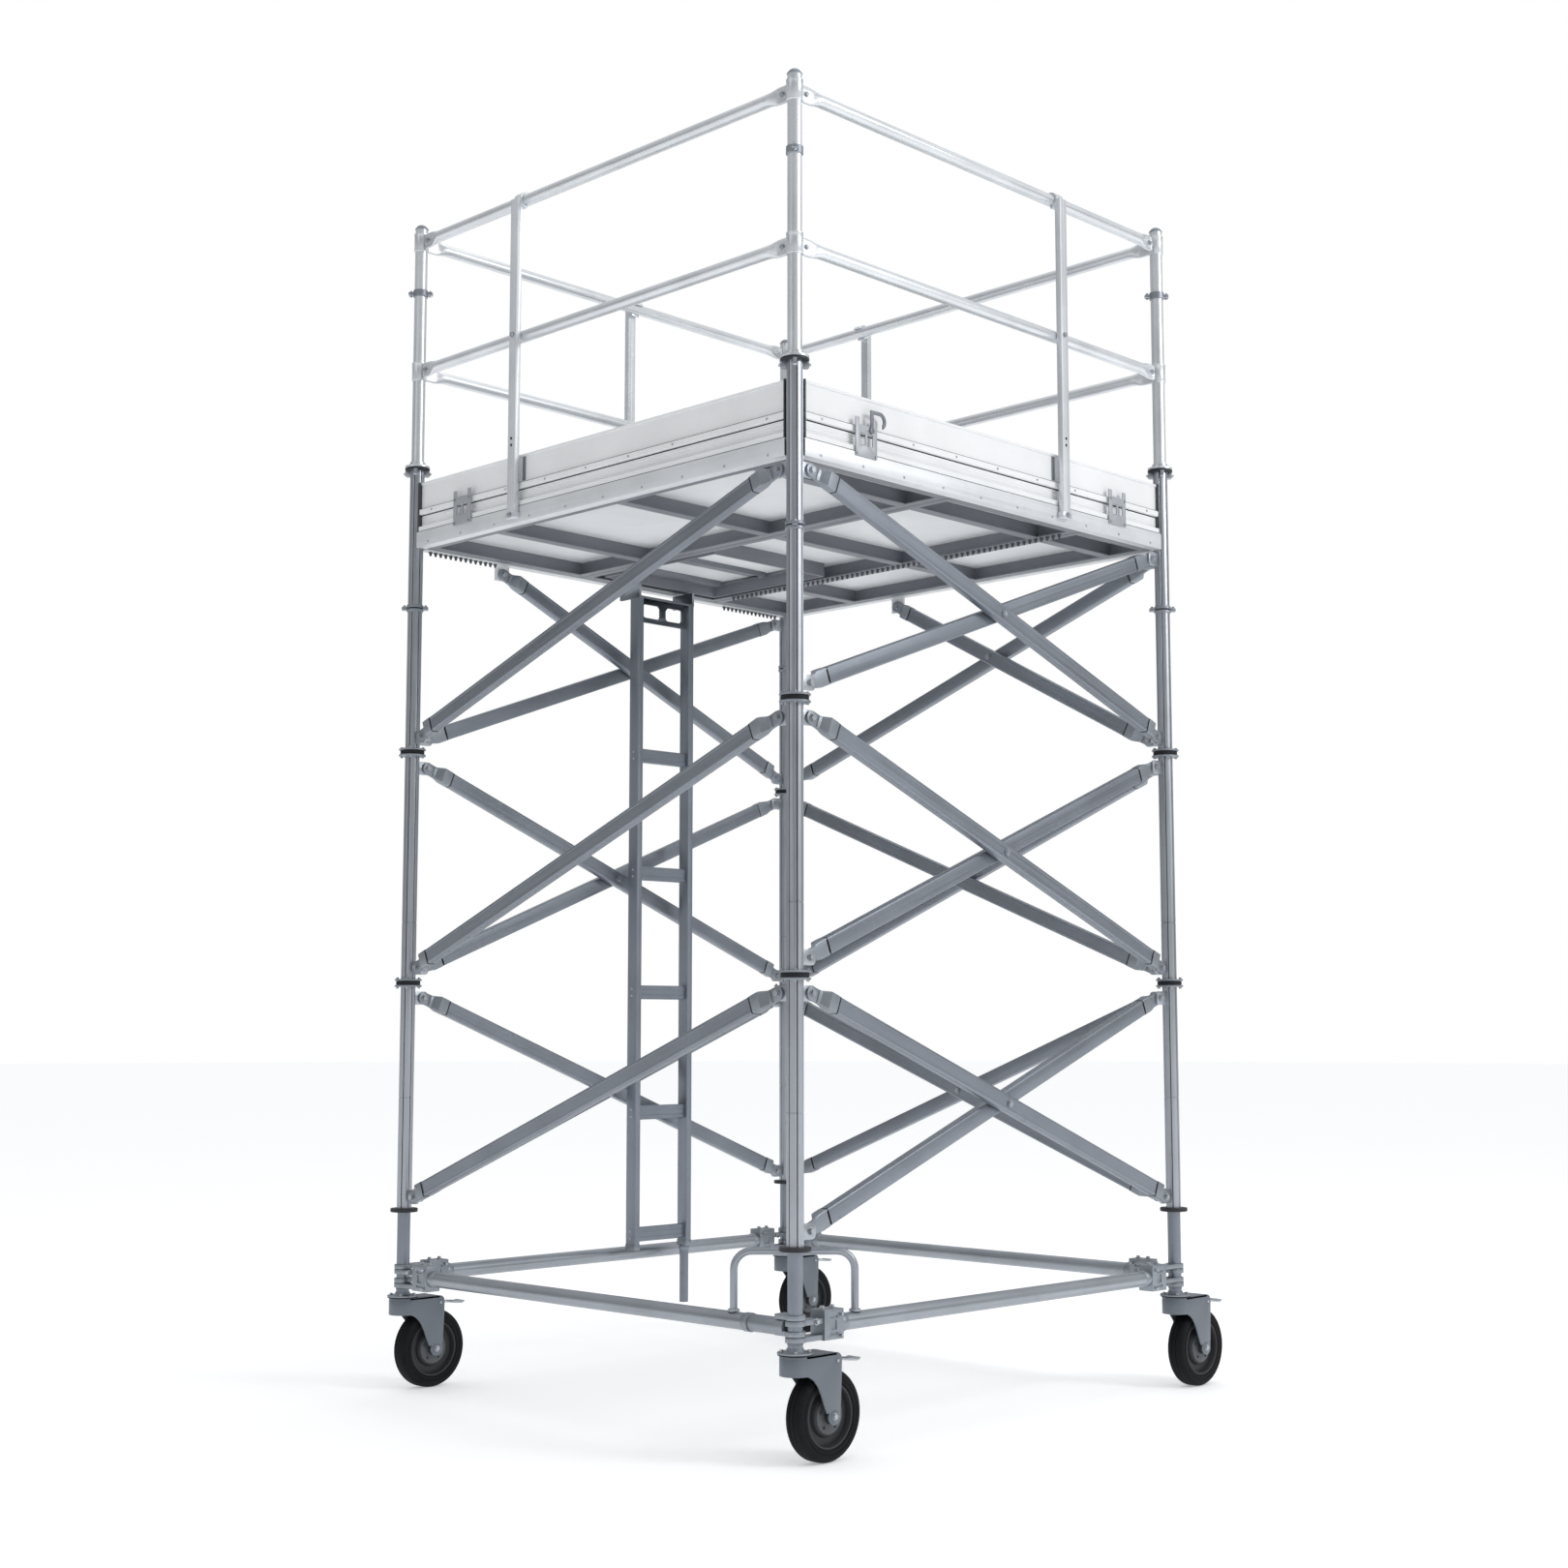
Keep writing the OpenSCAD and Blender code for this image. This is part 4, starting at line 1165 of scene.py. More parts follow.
@dataclass
class BaseFrame:
    """Base tubes, ledgers with end ferrules, couplers and the corner hoop."""

    reach: float = 0.165
    hoop_r: float = 0.011
    hoop_leg: float = 0.240
    hoop_bend: float = 0.050
    hoop_top: float = 0.560

    def hoop(self) -> None:
        """The bent tube across the front left corner, with its feet."""
        span = self.hoop_leg * math.sqrt(2)
        foot = LEVELS.ledger + LEVELS.post_r + 0.0004
        bend, top = self.hoop_bend, self.hoop_top
        path = [Vector((0, 0, foot))]
        path += [Vector((bend - bend * math.cos(a), 0, top - bend + bend * math.sin(a)))
                 for a in [math.pi / 2 * i / 8 for i in range(9)]]
        path += [Vector((span - p.x, 0, p.z)) for p in reversed(path)]
        place = (LEVELS.corner(Corner.FRONT_LEFT) @ Matrix.Translation((self.hoop_leg, 0, 0))
                 @ Matrix.Rotation(math.radians(135), 4, "Z"))
        shell = Shell()
        shell.pipe(path, self.hoop_r, place)
        for x in (0.0, span):
            shell.turned([(0.0, foot - 0.0002), (0.0175, foot - 0.0002), (0.0175, foot + 0.0035),
                          (0.0135, foot + 0.0075), (0.0, foot + 0.0075)],
                         place @ Matrix.Translation((x, 0, 0)), 28, soft=0.0006)
        shell.piece("corner_hoop_finished", (LEDGER,), TOWER, "ledger_aluminium", ("corner_hoop",))

    def build(self) -> None:
        """Builds the base."""
        tubes, ledgers = Shell(), Shell()
        bolts = Heads(6, 0.014, 0.007, washer_width=0.019, washer_height=0.0018)
        pins = Heads(14, 0.010, 0.010, top_share=0.8)
        top = LEVELS.rings[0]
        for corner in Corner:
            place = LEVELS.corner(corner)
            r, low = LEVELS.slim_r, LEVELS.stem + 0.0002
            tubes.turned([(r - LEVELS.wall, low), (r, low), (r, low + 0.018), (r + 0.0012, low + 0.019),
                          (r + 0.0012, low + 0.022), (r, low + 0.023),
                          (r, top - 0.0006), (r - LEVELS.wall, top - 0.0006)], place, 48, hollow=True)
            other = place @ Matrix.Rotation(math.radians(90), 4, "Z")
            for turn in (place, other):
                if corner is Corner.FRONT_LEFT and turn is other:
                    continue
                for x in (0.106, 0.146):
                    bolts.add(turn, (x, 0, LEVELS.ledger + 0.042), (0, 0, 1))
                for x, z in ((0.150, 0.028), (0.150, -0.030)):
                    for side in (-1, 1):
                        pins.add(turn, (x, side * 0.027, LEVELS.ledger + z), (0, side, 0))
            for side in (-1, 1):
                bolts.add(place, (0.062, side * 0.020, LEVELS.ledger + 0.013), (0, side, 0))
        tubes.piece("base_tubes_finished", (LOWER_PAINTED_SHADE,), TOWER, "lower_aluminium", ("base_tubes",))
        end = LEVELS.half - self.reach
        for face in Face:
            place = LEVELS.face(face) @ Matrix.Translation((0, 0, LEVELS.ledger))
            axis = place @ Matrix.Rotation(math.radians(90), 4, "Y")
            r = LEVELS.post_r
            ledgers.turned([(r - LEVELS.wall, -end), (r, -end), (r, end), (r - LEVELS.wall, end)], axis, 56,
                           hollow=True)
            for side in (-1, 1):
                a, b, c = side * (end - 0.0005), side * (end - 0.022), side * (end - 0.026)
                ledgers.turned([(r - BITE, a), (r + 0.0024, a), (r + 0.0024, b), (r + 0.0002, c),
                                (r - BITE, c)], axis, 48, hollow=True, finish=1, soft=0.0005)
        ledgers.piece("base_ledgers_finished", (LEDGER, CAST), TOWER, "ledger_aluminium", ("base_ledgers",))
        refine("ledger_couplers", (CAST, DARK_JOINT_AND_SHADE), 0.0016)
        bolts.piece("coupler_bolts", TOWER, "plain_steel")
        pins.piece("coupler_pins", TOWER, "plain_steel")
        self.hoop()


@dataclass
class Braces:
    """The scissor braces: drawn box sections with cast heads, and their bolts."""

    height: float = 0.050
    thick: float = 0.030
    inner: float = 0.004
    rise: float = 0.050
    drop: float = 0.035
    beam_ends: tuple[float, ...] = (0.842, 0.300, 0.530, 0.842)
    end_bolts: Heads = field(
        default_factory=lambda: Heads(6, 0.0195, 0.0065, washer_width=0.023, washer_height=0.0018))
    cross_bolts: Heads = field(
        default_factory=lambda: Heads(6, 0.0185, 0.0045, washer_width=0.022, washer_height=0.0015))

    def section(self, thick: float, height: float, lip: float = 0.0) -> Outline:
        """A brace's section, from its inner face outwards.

        Args:
            thick: across the face.
            height: of the box.
            lip: depth of the recess between its two edges.

        Returns:
            The outline in y and z.
        """
        middle = -self.inner - thick / 2
        radius = min(0.005, thick * 0.42)
        outline = [(middle + y, z) for y, z in rounded(thick, height, radius)]
        if not lip:
            return outline
        far = -self.inner - thick
        split = max(i for i, (y, z) in enumerate(outline) if y < middle and z > 0) + 1
        edge = height / 2 - 0.010
        groove = [(far, edge + 0.0012), (far + lip, edge), (far + lip, -edge), (far, -edge - 0.0012)]
        return outline[:split] + groove + outline[split:]

    def brace(self, shell: Shell, face: Matrix, start: Vector, end: Vector, inside: bool) -> None:
        """One brace from bolt to bolt.

        Args:
            shell: what it is added to.
            face: the face's frame.
            start: its first bolt in x and z.
            end: its other bolt.
            inside: whether it lies inside the face.
        """
        run = end - start
        length = run.length
        flip = Matrix.Scale(-1, 4, (0, 1, 0)) if inside else Matrix()
        place = face @ flip @ Matrix.Translation(start) @ Matrix.Rotation(-math.atan2(run.z, run.x), 4, "Y")
        shell.bar(self.section(self.thick, self.height, 0.0012), (0.086, length - 0.086), place)
        for x0, way in ((0.0, 1), (length, -1)):
            stations = ((0.024, 0.0100, 0.040), (0.034, 0.0115, 0.043), (0.048, 0.0260, 0.050),
                        (0.054, 0.0310, 0.0525), (0.084, 0.0312, 0.0525), (0.089, 0.0302, 0.0505))
            loops = [[Vector((x0 + way * x, y, z)) for y, z in self.section(t, h)] for x, t, h in stations]
            shell.skin(loops, place, finish=1)
            band = [[Vector((x0 + way * x, y, z)) for y, z in self.section(0.0308, 0.0512)]
                    for x in (0.089, 0.0925)]
            shell.skin(band, place, finish=2)
            eye = [(x0 - way * 0.020 * math.cos(a), 0.020 * math.sin(a))
                   for a in [math.pi * (i / 12 - 0.5) for i in range(13)]]
            eye += [(x0 + way * 0.040, 0.020), (x0 + way * 0.040, -0.020)]
            shell.plate(eye, -self.inner - 0.008, -self.inner - 0.0001, place, soft=0.0008, finish=1)

    def heads(self, face: Matrix, point: Vector, outer: float, inner: float, heads: Heads) -> None:
        """A bolt's head and nut.

        Args:
            face: the face's frame.
            point: the bolt's place in x and z.
            outer: where its head sits on -y.
            inner: where its nut sits on +y.
            heads: what they are added to.
        """
        heads.add(face, (point.x, -outer, point.z), (0, -1, 0))
        heads.add(face, (point.x, inner, point.z), (0, 1, 0))

    def build(self) -> None:
        """Builds the braces face by face."""
        rings = LEVELS.rings
        near = LEVELS.half - LEVELS.lug_reach
        spacers = Shell()
        for face in Face:
            place, shell = LEVELS.face(face), Shell()
            for lift in range(3):
                low = rings[lift] + self.rise
                high = rings[lift + 1] - self.rise if lift < 2 else LEVELS.beam - self.drop
                far = near if lift < 2 else self.beam_ends[face.value]
                foot, head = Vector((-near, 0, low)), Vector((far, 0, high))
                falls = face is not Face.LEFT
                self.brace(shell, place, foot, head, falls)
                grip = (0.0045, 0.0120)
                for point in (foot, head):
                    self.heads(place, point, *(grip if falls else grip[::-1]), self.end_bolts)
                if not falls:
                    continue
                top, toe = Vector((-near, 0, high)), Vector((near, 0, low))
                self.brace(shell, place, top, toe, False)
                for point in (top, toe):
                    self.heads(place, point, *grip[::-1], self.end_bolts)
                share = 1 / (1 + (far + near) / (2 * near))
                cross = foot + (head - foot) * share
                self.heads(place, cross, 0.034, 0.034, self.cross_bolts)
                hub = place @ Matrix.Translation(cross) @ Matrix.Rotation(math.radians(90), 4, "X")
                spacers.turned([(0.0, -0.004), (0.015, -0.004), (0.015, 0.004), (0.0, 0.004)], hub, 28,
                               soft=0.0005)
            shell.piece(f"braces_{face.label}_finished", (BRACE, CAST, DARK_JOINT_AND_SHADE), TOWER, "brace_aluminium",
                        (f"braces_{face.label}",))
        spacers.piece("brace_spacers", (PLATED,), TOWER, "plain_steel", ("brace_pins",))
        self.end_bolts.piece("brace_end_bolts", TOWER, "plain_steel")
        self.cross_bolts.piece("brace_cross_bolts", TOWER, "plain_steel")


@dataclass
class ToeBoards:
    """The toe boards, their clip plates, rivets and the latch."""

    height: float = 0.173
    end: float = 0.868
    bracket: float = 0.620

    def profile(self) -> tuple[Outline, set[int]]:
        """The board's section: upright, two ledges and a web with fine ridges.

        Returns:
            The outline in y and z, and the numbers of the segments painted dark: painted shade along the foot
            of the board and in the creases above and under its ledges.
        """
        top = self.height
        marked = [(0.004, 0.0, 0), (-0.014, 0.0, 1), (-0.014, 0.0028, 0), (-0.014, 0.017, 0),
                  (-0.012, 0.019, 0), (0.0, 0.019, 1), (0.0, 0.0228, 0)]
        for z in (0.032, 0.040, 0.048):
            marked += [(0.0, z - 0.0016, 0), (-0.0012, z - 0.0006, 0), (-0.0012, z + 0.0006, 0),
                       (0.0, z + 0.0016, 0)]
        marked += [(0.0, 0.0562, 1), (0.0, 0.060, 0), (-0.010, 0.060, 0), (-0.012, 0.062, 0),
                   (-0.012, 0.077, 0), (-0.010, 0.079, 0), (-0.002, 0.079, 1), (-0.002, 0.0835, 0),
                   (-0.002, top - 0.008, 0), (-0.006, top - 0.008, 0), (-0.006, top - 0.002, 0),
                   (-0.004, top, 0), (0.002, top, 0), (0.004, top - 0.002, 0)]
        return [(y, z) for y, z, _ in marked], {i for i, point in enumerate(marked) if point[2]}

    def sort(self, centre: Vector, _normal: Vector) -> int:
        """The plates at the ends of the boards are dark."""
        off = centre - LEVELS.centre()
        return 1 if min(abs(off.x), abs(off.y)) > 0.8 else 0

    def build(self) -> None:
        """Builds the four boards and what is fixed to them."""
        outline, seams = self.profile()
        rivets, screws = Heads(10, 0.0085, 0.0022, top_share=0.55, finish=PLATED), Heads(6, 0.0085, 0.0035)
        for face in Face:
            place = LEVELS.face(face) @ Matrix.Translation((0, 0, LEVELS.deck))
            shell = Shell()
            # The marked segments take the near-black finish: painted shade along the foot of the board and in
            # the creases at its ledges.
            shell.bar(outline, (-self.end, 0.0, self.end), place, finish=lambda i: int(i in seams))
            shell.piece(f"toe_board_{face.label}_finished", (TOE, DARK_JOINT_AND_SHADE), TOWER, "toe_white",
                        (f"toe_board_{face.label}",))
            for u in [-0.80 + 0.20 * i for i in range(9)]:
                if abs(abs(u) - self.bracket) > 0.055:
                    rivets.add(place, (u, -0.012, 0.0688), (0, -1, 0))
            for side in (-1,) if face is Face.LEFT else (-1, 1):
                latched = face is Face.FRONT and side < 0
                for z in (-0.006,) if latched else (-0.006, 0.074):
                    for x in (-0.039, 0.039):
                        screws.add(place, (side * self.bracket + x, -0.0217, z), (0, -1, 0))
        refine("toe_board_brackets", (CLIP, DARK), 0.0006, self.sort)
        refine("toe_latch", (GREY,), 0.0007)
        rivets.piece("toe_board_rivets", TOWER, "plain_steel")
        screws.piece("bracket_screws", TOWER, "plain_steel")


@dataclass
class GuardRails:
    """Guardrails with flattened ends, and the stanchions between them."""

    radius: float = 0.019
    reach: float = 0.8745
    stanchions: tuple[float, ...] = (0.320, 0.486, -0.090, -0.340)

    def rail(self, shell: Shell, place: Matrix) -> None:
        """One rail, round in the middle and pressed flat at both ends.

        Args:
            shell: what it is added to.
            place: the rail's frame.
        """
        stations = []
        for side in (-1, 1):
            row = [(0.0, 1.0), (0.003, 1.0), (0.034, 1.0), (0.044, 0.85), (0.056, 0.5), (0.070, 0.15),
                   (0.084, 0.0)]
            stations += [(side * (self.reach - x), flat) for x, flat in (row if side < 0 else row[::-1])]
        loops = []
        for x, flat in stations:
            loop = []
            for y, z in circle(1.0, 32):
                squeezed = (math.copysign(abs(y) ** 0.35, y) * 0.005, math.copysign(abs(z) ** 0.7, z) * 0.026)
                loop.append(Vector((x, (1 - flat) * y * self.radius + flat * squeezed[0],
                                    (1 - flat) * z * self.radius + flat * squeezed[1])))
            loops.append(loop)
        shell.skin(loops, place)

    def build(self) -> None:
        """Builds the rails and the stanchions."""
        bolts = Heads(6, 0.013, 0.006, washer_width=0.018, washer_height=0.0016)
        hole_shades, strips = Heads(12, 0.0095, 0.0004, finish=DARK_JOINT_AND_SHADE), Shell()
        for face in Face:
            place, shell = LEVELS.face(face), Shell()
            for z in (LEVELS.mid_rail, LEVELS.top_rail):
                self.rail(shell, place @ Matrix.Translation((0, 0, z)))
                for side in (-1, 1):
                    bolts.add(place, (side * (self.reach - 0.018), -0.005, z), (0, -1, 0))
            shell.piece(f"guardrail_{face.label}_finished", (RAIL_PAINTED_LIGHT,), TOWER, "rail_aluminium",
                        (f"guardrail_{face.label}",))
            u = self.stanchions[face.value]
            for z in (LEVELS.mid_rail, LEVELS.beam + 0.023):
                bolts.add(place, (u, -0.0392 if z > LEVELS.deck else -0.0412, z), (0, -1, 0))
            # Two flat dark discs on each stanchion: painted shade that stands in for two holes.
            for z in (0.200, 0.222):
                hole_shades.add(place, (u, -0.0392, LEVELS.deck + z), (0, -1, 0))
            side = -1 if face is Face.FRONT else 1
            inner, outer = sorted((u + side * 0.0185, u + side * 0.0310))
            strips.block((inner, -0.0056, LEVELS.deck + 0.086), (outer, -0.0021, LEVELS.deck + 0.163), place,
                         0.0006)
        refine("stanchions", (RAIL_PAINTED_LIGHT,), 0.0018)
        bolts.piece("rail_bolts", TOWER, "plain_steel")
        hole_shades.piece("stanchion_holes", TOWER, "plain_steel")
        strips.piece("stanchion_strips", (GREY,), TOWER, "bracket_grey")


@dataclass
class Deck:
    """Beams, panels with their ribs and studs, the trapdoor and its ironwork."""

    pitch: float = 0.042
    splits: tuple[float, float] = (-0.188, 0.476)
    hatch: tuple[float, float, float, float] = (-0.123, 0.240, 0.411, 0.800)

    def studs(self, heads: Heads, low: tuple[float, float], high: tuple[float, float],
              skip: tuple[float, ...] | None = None) -> None:
        """A field of studs in staggered rows.

        Args:
            heads: what they are added to.
            low: the field's low corner, from the tower's centre.
            high: its high corner.
            skip: an area without any, as low x, low y, high x, high y.
        """
        place = LEVELS.middle()
        columns = int((high[0] - low[0]) / self.pitch)
        rows = int((high[1] - low[1]) / self.pitch)
        for j in range(rows + 1):
            for i in range(columns + (j % 2 == 0)):
                x = low[0] + (i + (0.5 if j % 2 else 0.0)) * self.pitch
                y = low[1] + j * self.pitch
                if skip and skip[0] < x < skip[2] and skip[1] < y < skip[3]:
                    continue
                heads.add(place, (x, y, LEVELS.deck_top), (0, 0, 1))

    def sort(self, centre: Vector, normal: Vector) -> int:
        """Sheet underneath, ribs and top have different finishes."""
        if normal.z > 0.9 and centre.z > LEVELS.deck_top - 0.002:
            return 2
        return 1 if centre.z < LEVELS.deck - 0.0005 else 0

    def build(self) -> None:
        """Builds the deck."""
        refine("deck_beams", (BEAM,), 0.0015)
        refine("deck_panels", (WHITE, RIB, GRIT), 0.0008, self.sort)
        refine("hatch_panel", (WHITE, RIB, GRIT), 0.0008, self.sort)
        refine("trapdoor", (WHITE, RIB, GRIT), 0.0008, self.sort)
        refine("trapdoor_hinge_pin", (DARK,), 0.0004)
        refine("trapdoor_catch", (DARK,), 0.0006)
        studs = Heads(8, 0.013, 0.0012, top_share=0.6, finish=GRIT)
        edge, margin = 0.862, 0.028
        self.studs(studs, (-edge, -edge), (self.splits[0] - margin, edge))
        self.studs(studs, (self.splits[1] + margin, -edge), (edge, edge))
        x0, y0, x1, y1 = self.hatch
        around = (x0 - 0.04, y0 - margin, x1 + margin, y1 + margin)
        self.studs(studs, (self.splits[0] + margin, -edge), (self.splits[1] - margin, edge), around)
        studs.piece("deck_studs", TOWER, "deck_white")
        door = Heads(8, 0.013, 0.0012, top_share=0.6, finish=GRIT)
        slot = (0.26, 0.49, 0.40, 0.55)
        self.studs(door, (x0 + 0.045, y0 + margin), (x1 - margin, y1 - margin), slot)
        door.piece("trapdoor_studs", "trapdoor", "deck_white")
        teeth = Heads(4, 0.017, 0.013, top_share=0.45, finish=DARK)
        place = LEVELS.middle()
        for i in range(64):
            teeth.add(place, (self.splits[1] - 0.017, -0.80 + 0.0245 * i, LEVELS.beam + 0.0030), (0, 0, -1))
        rear = LEVELS.face(Face.REAR)
        for i in range(14):
            for side in (-1, 1):
                teeth.add(rear, (side * (0.56 + 0.0215 * i), 0, LEVELS.beam), (0, 0, -1))
        teeth.piece("grip_teeth", TOWER, "dark_steel")
        rivets = Heads(10, 0.009, 0.0022, top_share=0.55)
        for face in Face:
            along = LEVELS.face(face)
            for u in [-0.81 + 0.18 * i for i in range(10)]:
                rivets.add(along, (u, -0.0175, LEVELS.beam + 0.012), (0, -1, 0))
        rivets.piece("beam_rivets", TOWER, "plain_steel")


@dataclass
class Ladder:
    """The ladder inside the rear face."""

    width: float = 0.250
    stile: tuple[float, float] = (0.025, 0.050)
    foot: float = 0.392
    head: float = 2.745
    rung_z: float = 0.445
    pitch: float = 0.430
    rungs: int = 5
    tail: float = 0.190

    def rung(self) -> Outline:
        """A rung's section with ridges on its tread.

        Returns:
            The outline in y and z about the rung's middle.
        """
        deep, tall = 0.024, 0.050
        top = tall / 2
        outline = [(-deep / 2, -top + 0.003), (-deep / 2 + 0.003, -top), (deep / 2 - 0.003, -top),
                   (deep / 2, -top + 0.003),
                   (deep / 2, -0.010), (deep / 2 - 0.0012, -0.009), (deep / 2 - 0.0012, 0.009),
                   (deep / 2, 0.010), (deep / 2, top - 0.002)]
        for i in range(5):
            y = deep / 2 - 0.0028 - 0.0042 * i
            outline += [(y + 0.0013, top - 0.0016), (y + 0.0007, top), (y - 0.0007, top),
                        (y - 0.0013, top - 0.0016)]
        outline += [(-deep / 2, top - 0.002), (-deep / 2, 0.010), (-deep / 2 + 0.0012, 0.009),
                    (-deep / 2 + 0.0012, -0.009), (-deep / 2, -0.010)]
        return outline

    def build(self) -> None:
        """Builds stiles, rungs, rivets and hanger."""
        middle = LEVELS.middle() @ Matrix.Translation((LEVELS.ladder_x, LEVELS.ladder_y, 0))
        stiles, rungs, rivets = Shell(), Shell(), Heads(10, 0.009, 0.002, top_share=0.55)
        up = Matrix.Rotation(math.radians(-90), 4, "Y")
        for side in (-1, 1):
            place = middle @ Matrix.Translation((side * self.width / 2, 0, 0)) @ up
            stiles.bar(rounded(self.stile[1], self.stile[0], 0.004), (self.foot + 0.004, self.head), place)
            stiles.bar(rounded(self.stile[1] + 0.003, self.stile[0] + 0.003, 0.005),
                       (self.foot, self.foot + 0.020), place, finish=1, soft=0.0008)
            for i in range(self.rungs):
                z = self.rung_z + self.pitch * i
                for dz in (-0.012, 0.012):
                    rivets.add(middle, (side * (self.width / 2 + 0.0125), 0, z + dz), (side, 0, 0))
        tail = middle @ Matrix.Translation((self.width / 2, 0, 0))
        r = 0.016
        stiles.turned([(r - LEVELS.wall, self.tail), (r, self.tail), (r, self.foot),
                       (r - LEVELS.wall, self.foot)], tail, 32, hollow=True)
        stiles.turned([(r - BITE, self.foot - 0.016), (r + 0.003, self.foot - 0.016),
                       (r + 0.003, self.foot - 0.001), (r - BITE, self.foot - 0.001)], tail, 32, hollow=True,
                       finish=1, soft=0.0006)
        stiles.piece("ladder_stiles_finished", (LOWER_PAINTED_SHADE, CAST), TOWER, "lower_aluminium", ("ladder_stiles",))
        reach = (self.width - self.stile[0]) / 2
        for i in range(self.rungs):
            place = middle @ Matrix.Translation((0, 0, self.rung_z + self.pitch * i))
            across = [(y, z) for y, z in self.rung()]
            rungs.bar(across, (-reach, reach), place)
        rungs.piece("ladder_rungs_finished", (LOWER_PAINTED_SHADE,), TOWER, "lower_aluminium", ("ladder_rungs",))
        rivets.piece("ladder_rivets", TOWER, "plain_steel")
        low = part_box("ladder_hanger")[0].z

        def windows(edge: bmesh.types.BMEdge) -> float:
            """Rounds the corners of the two windows."""
            a, b = (v.co for v in edge.verts)
            lies_across = abs(a.y - b.y) > 0.007 and abs(a.x - b.x) < 1e-5 and abs(a.z - b.z) < 1e-5
            inside = low + 0.012 < a.z < low + 0.075 and abs(a.y - b.y) < 0.009
            return 0.013 if lies_across and inside else 0.0

        refine("ladder_hanger", (LOWER_PAINTED_SHADE,), 0.0008, round_off=windows)


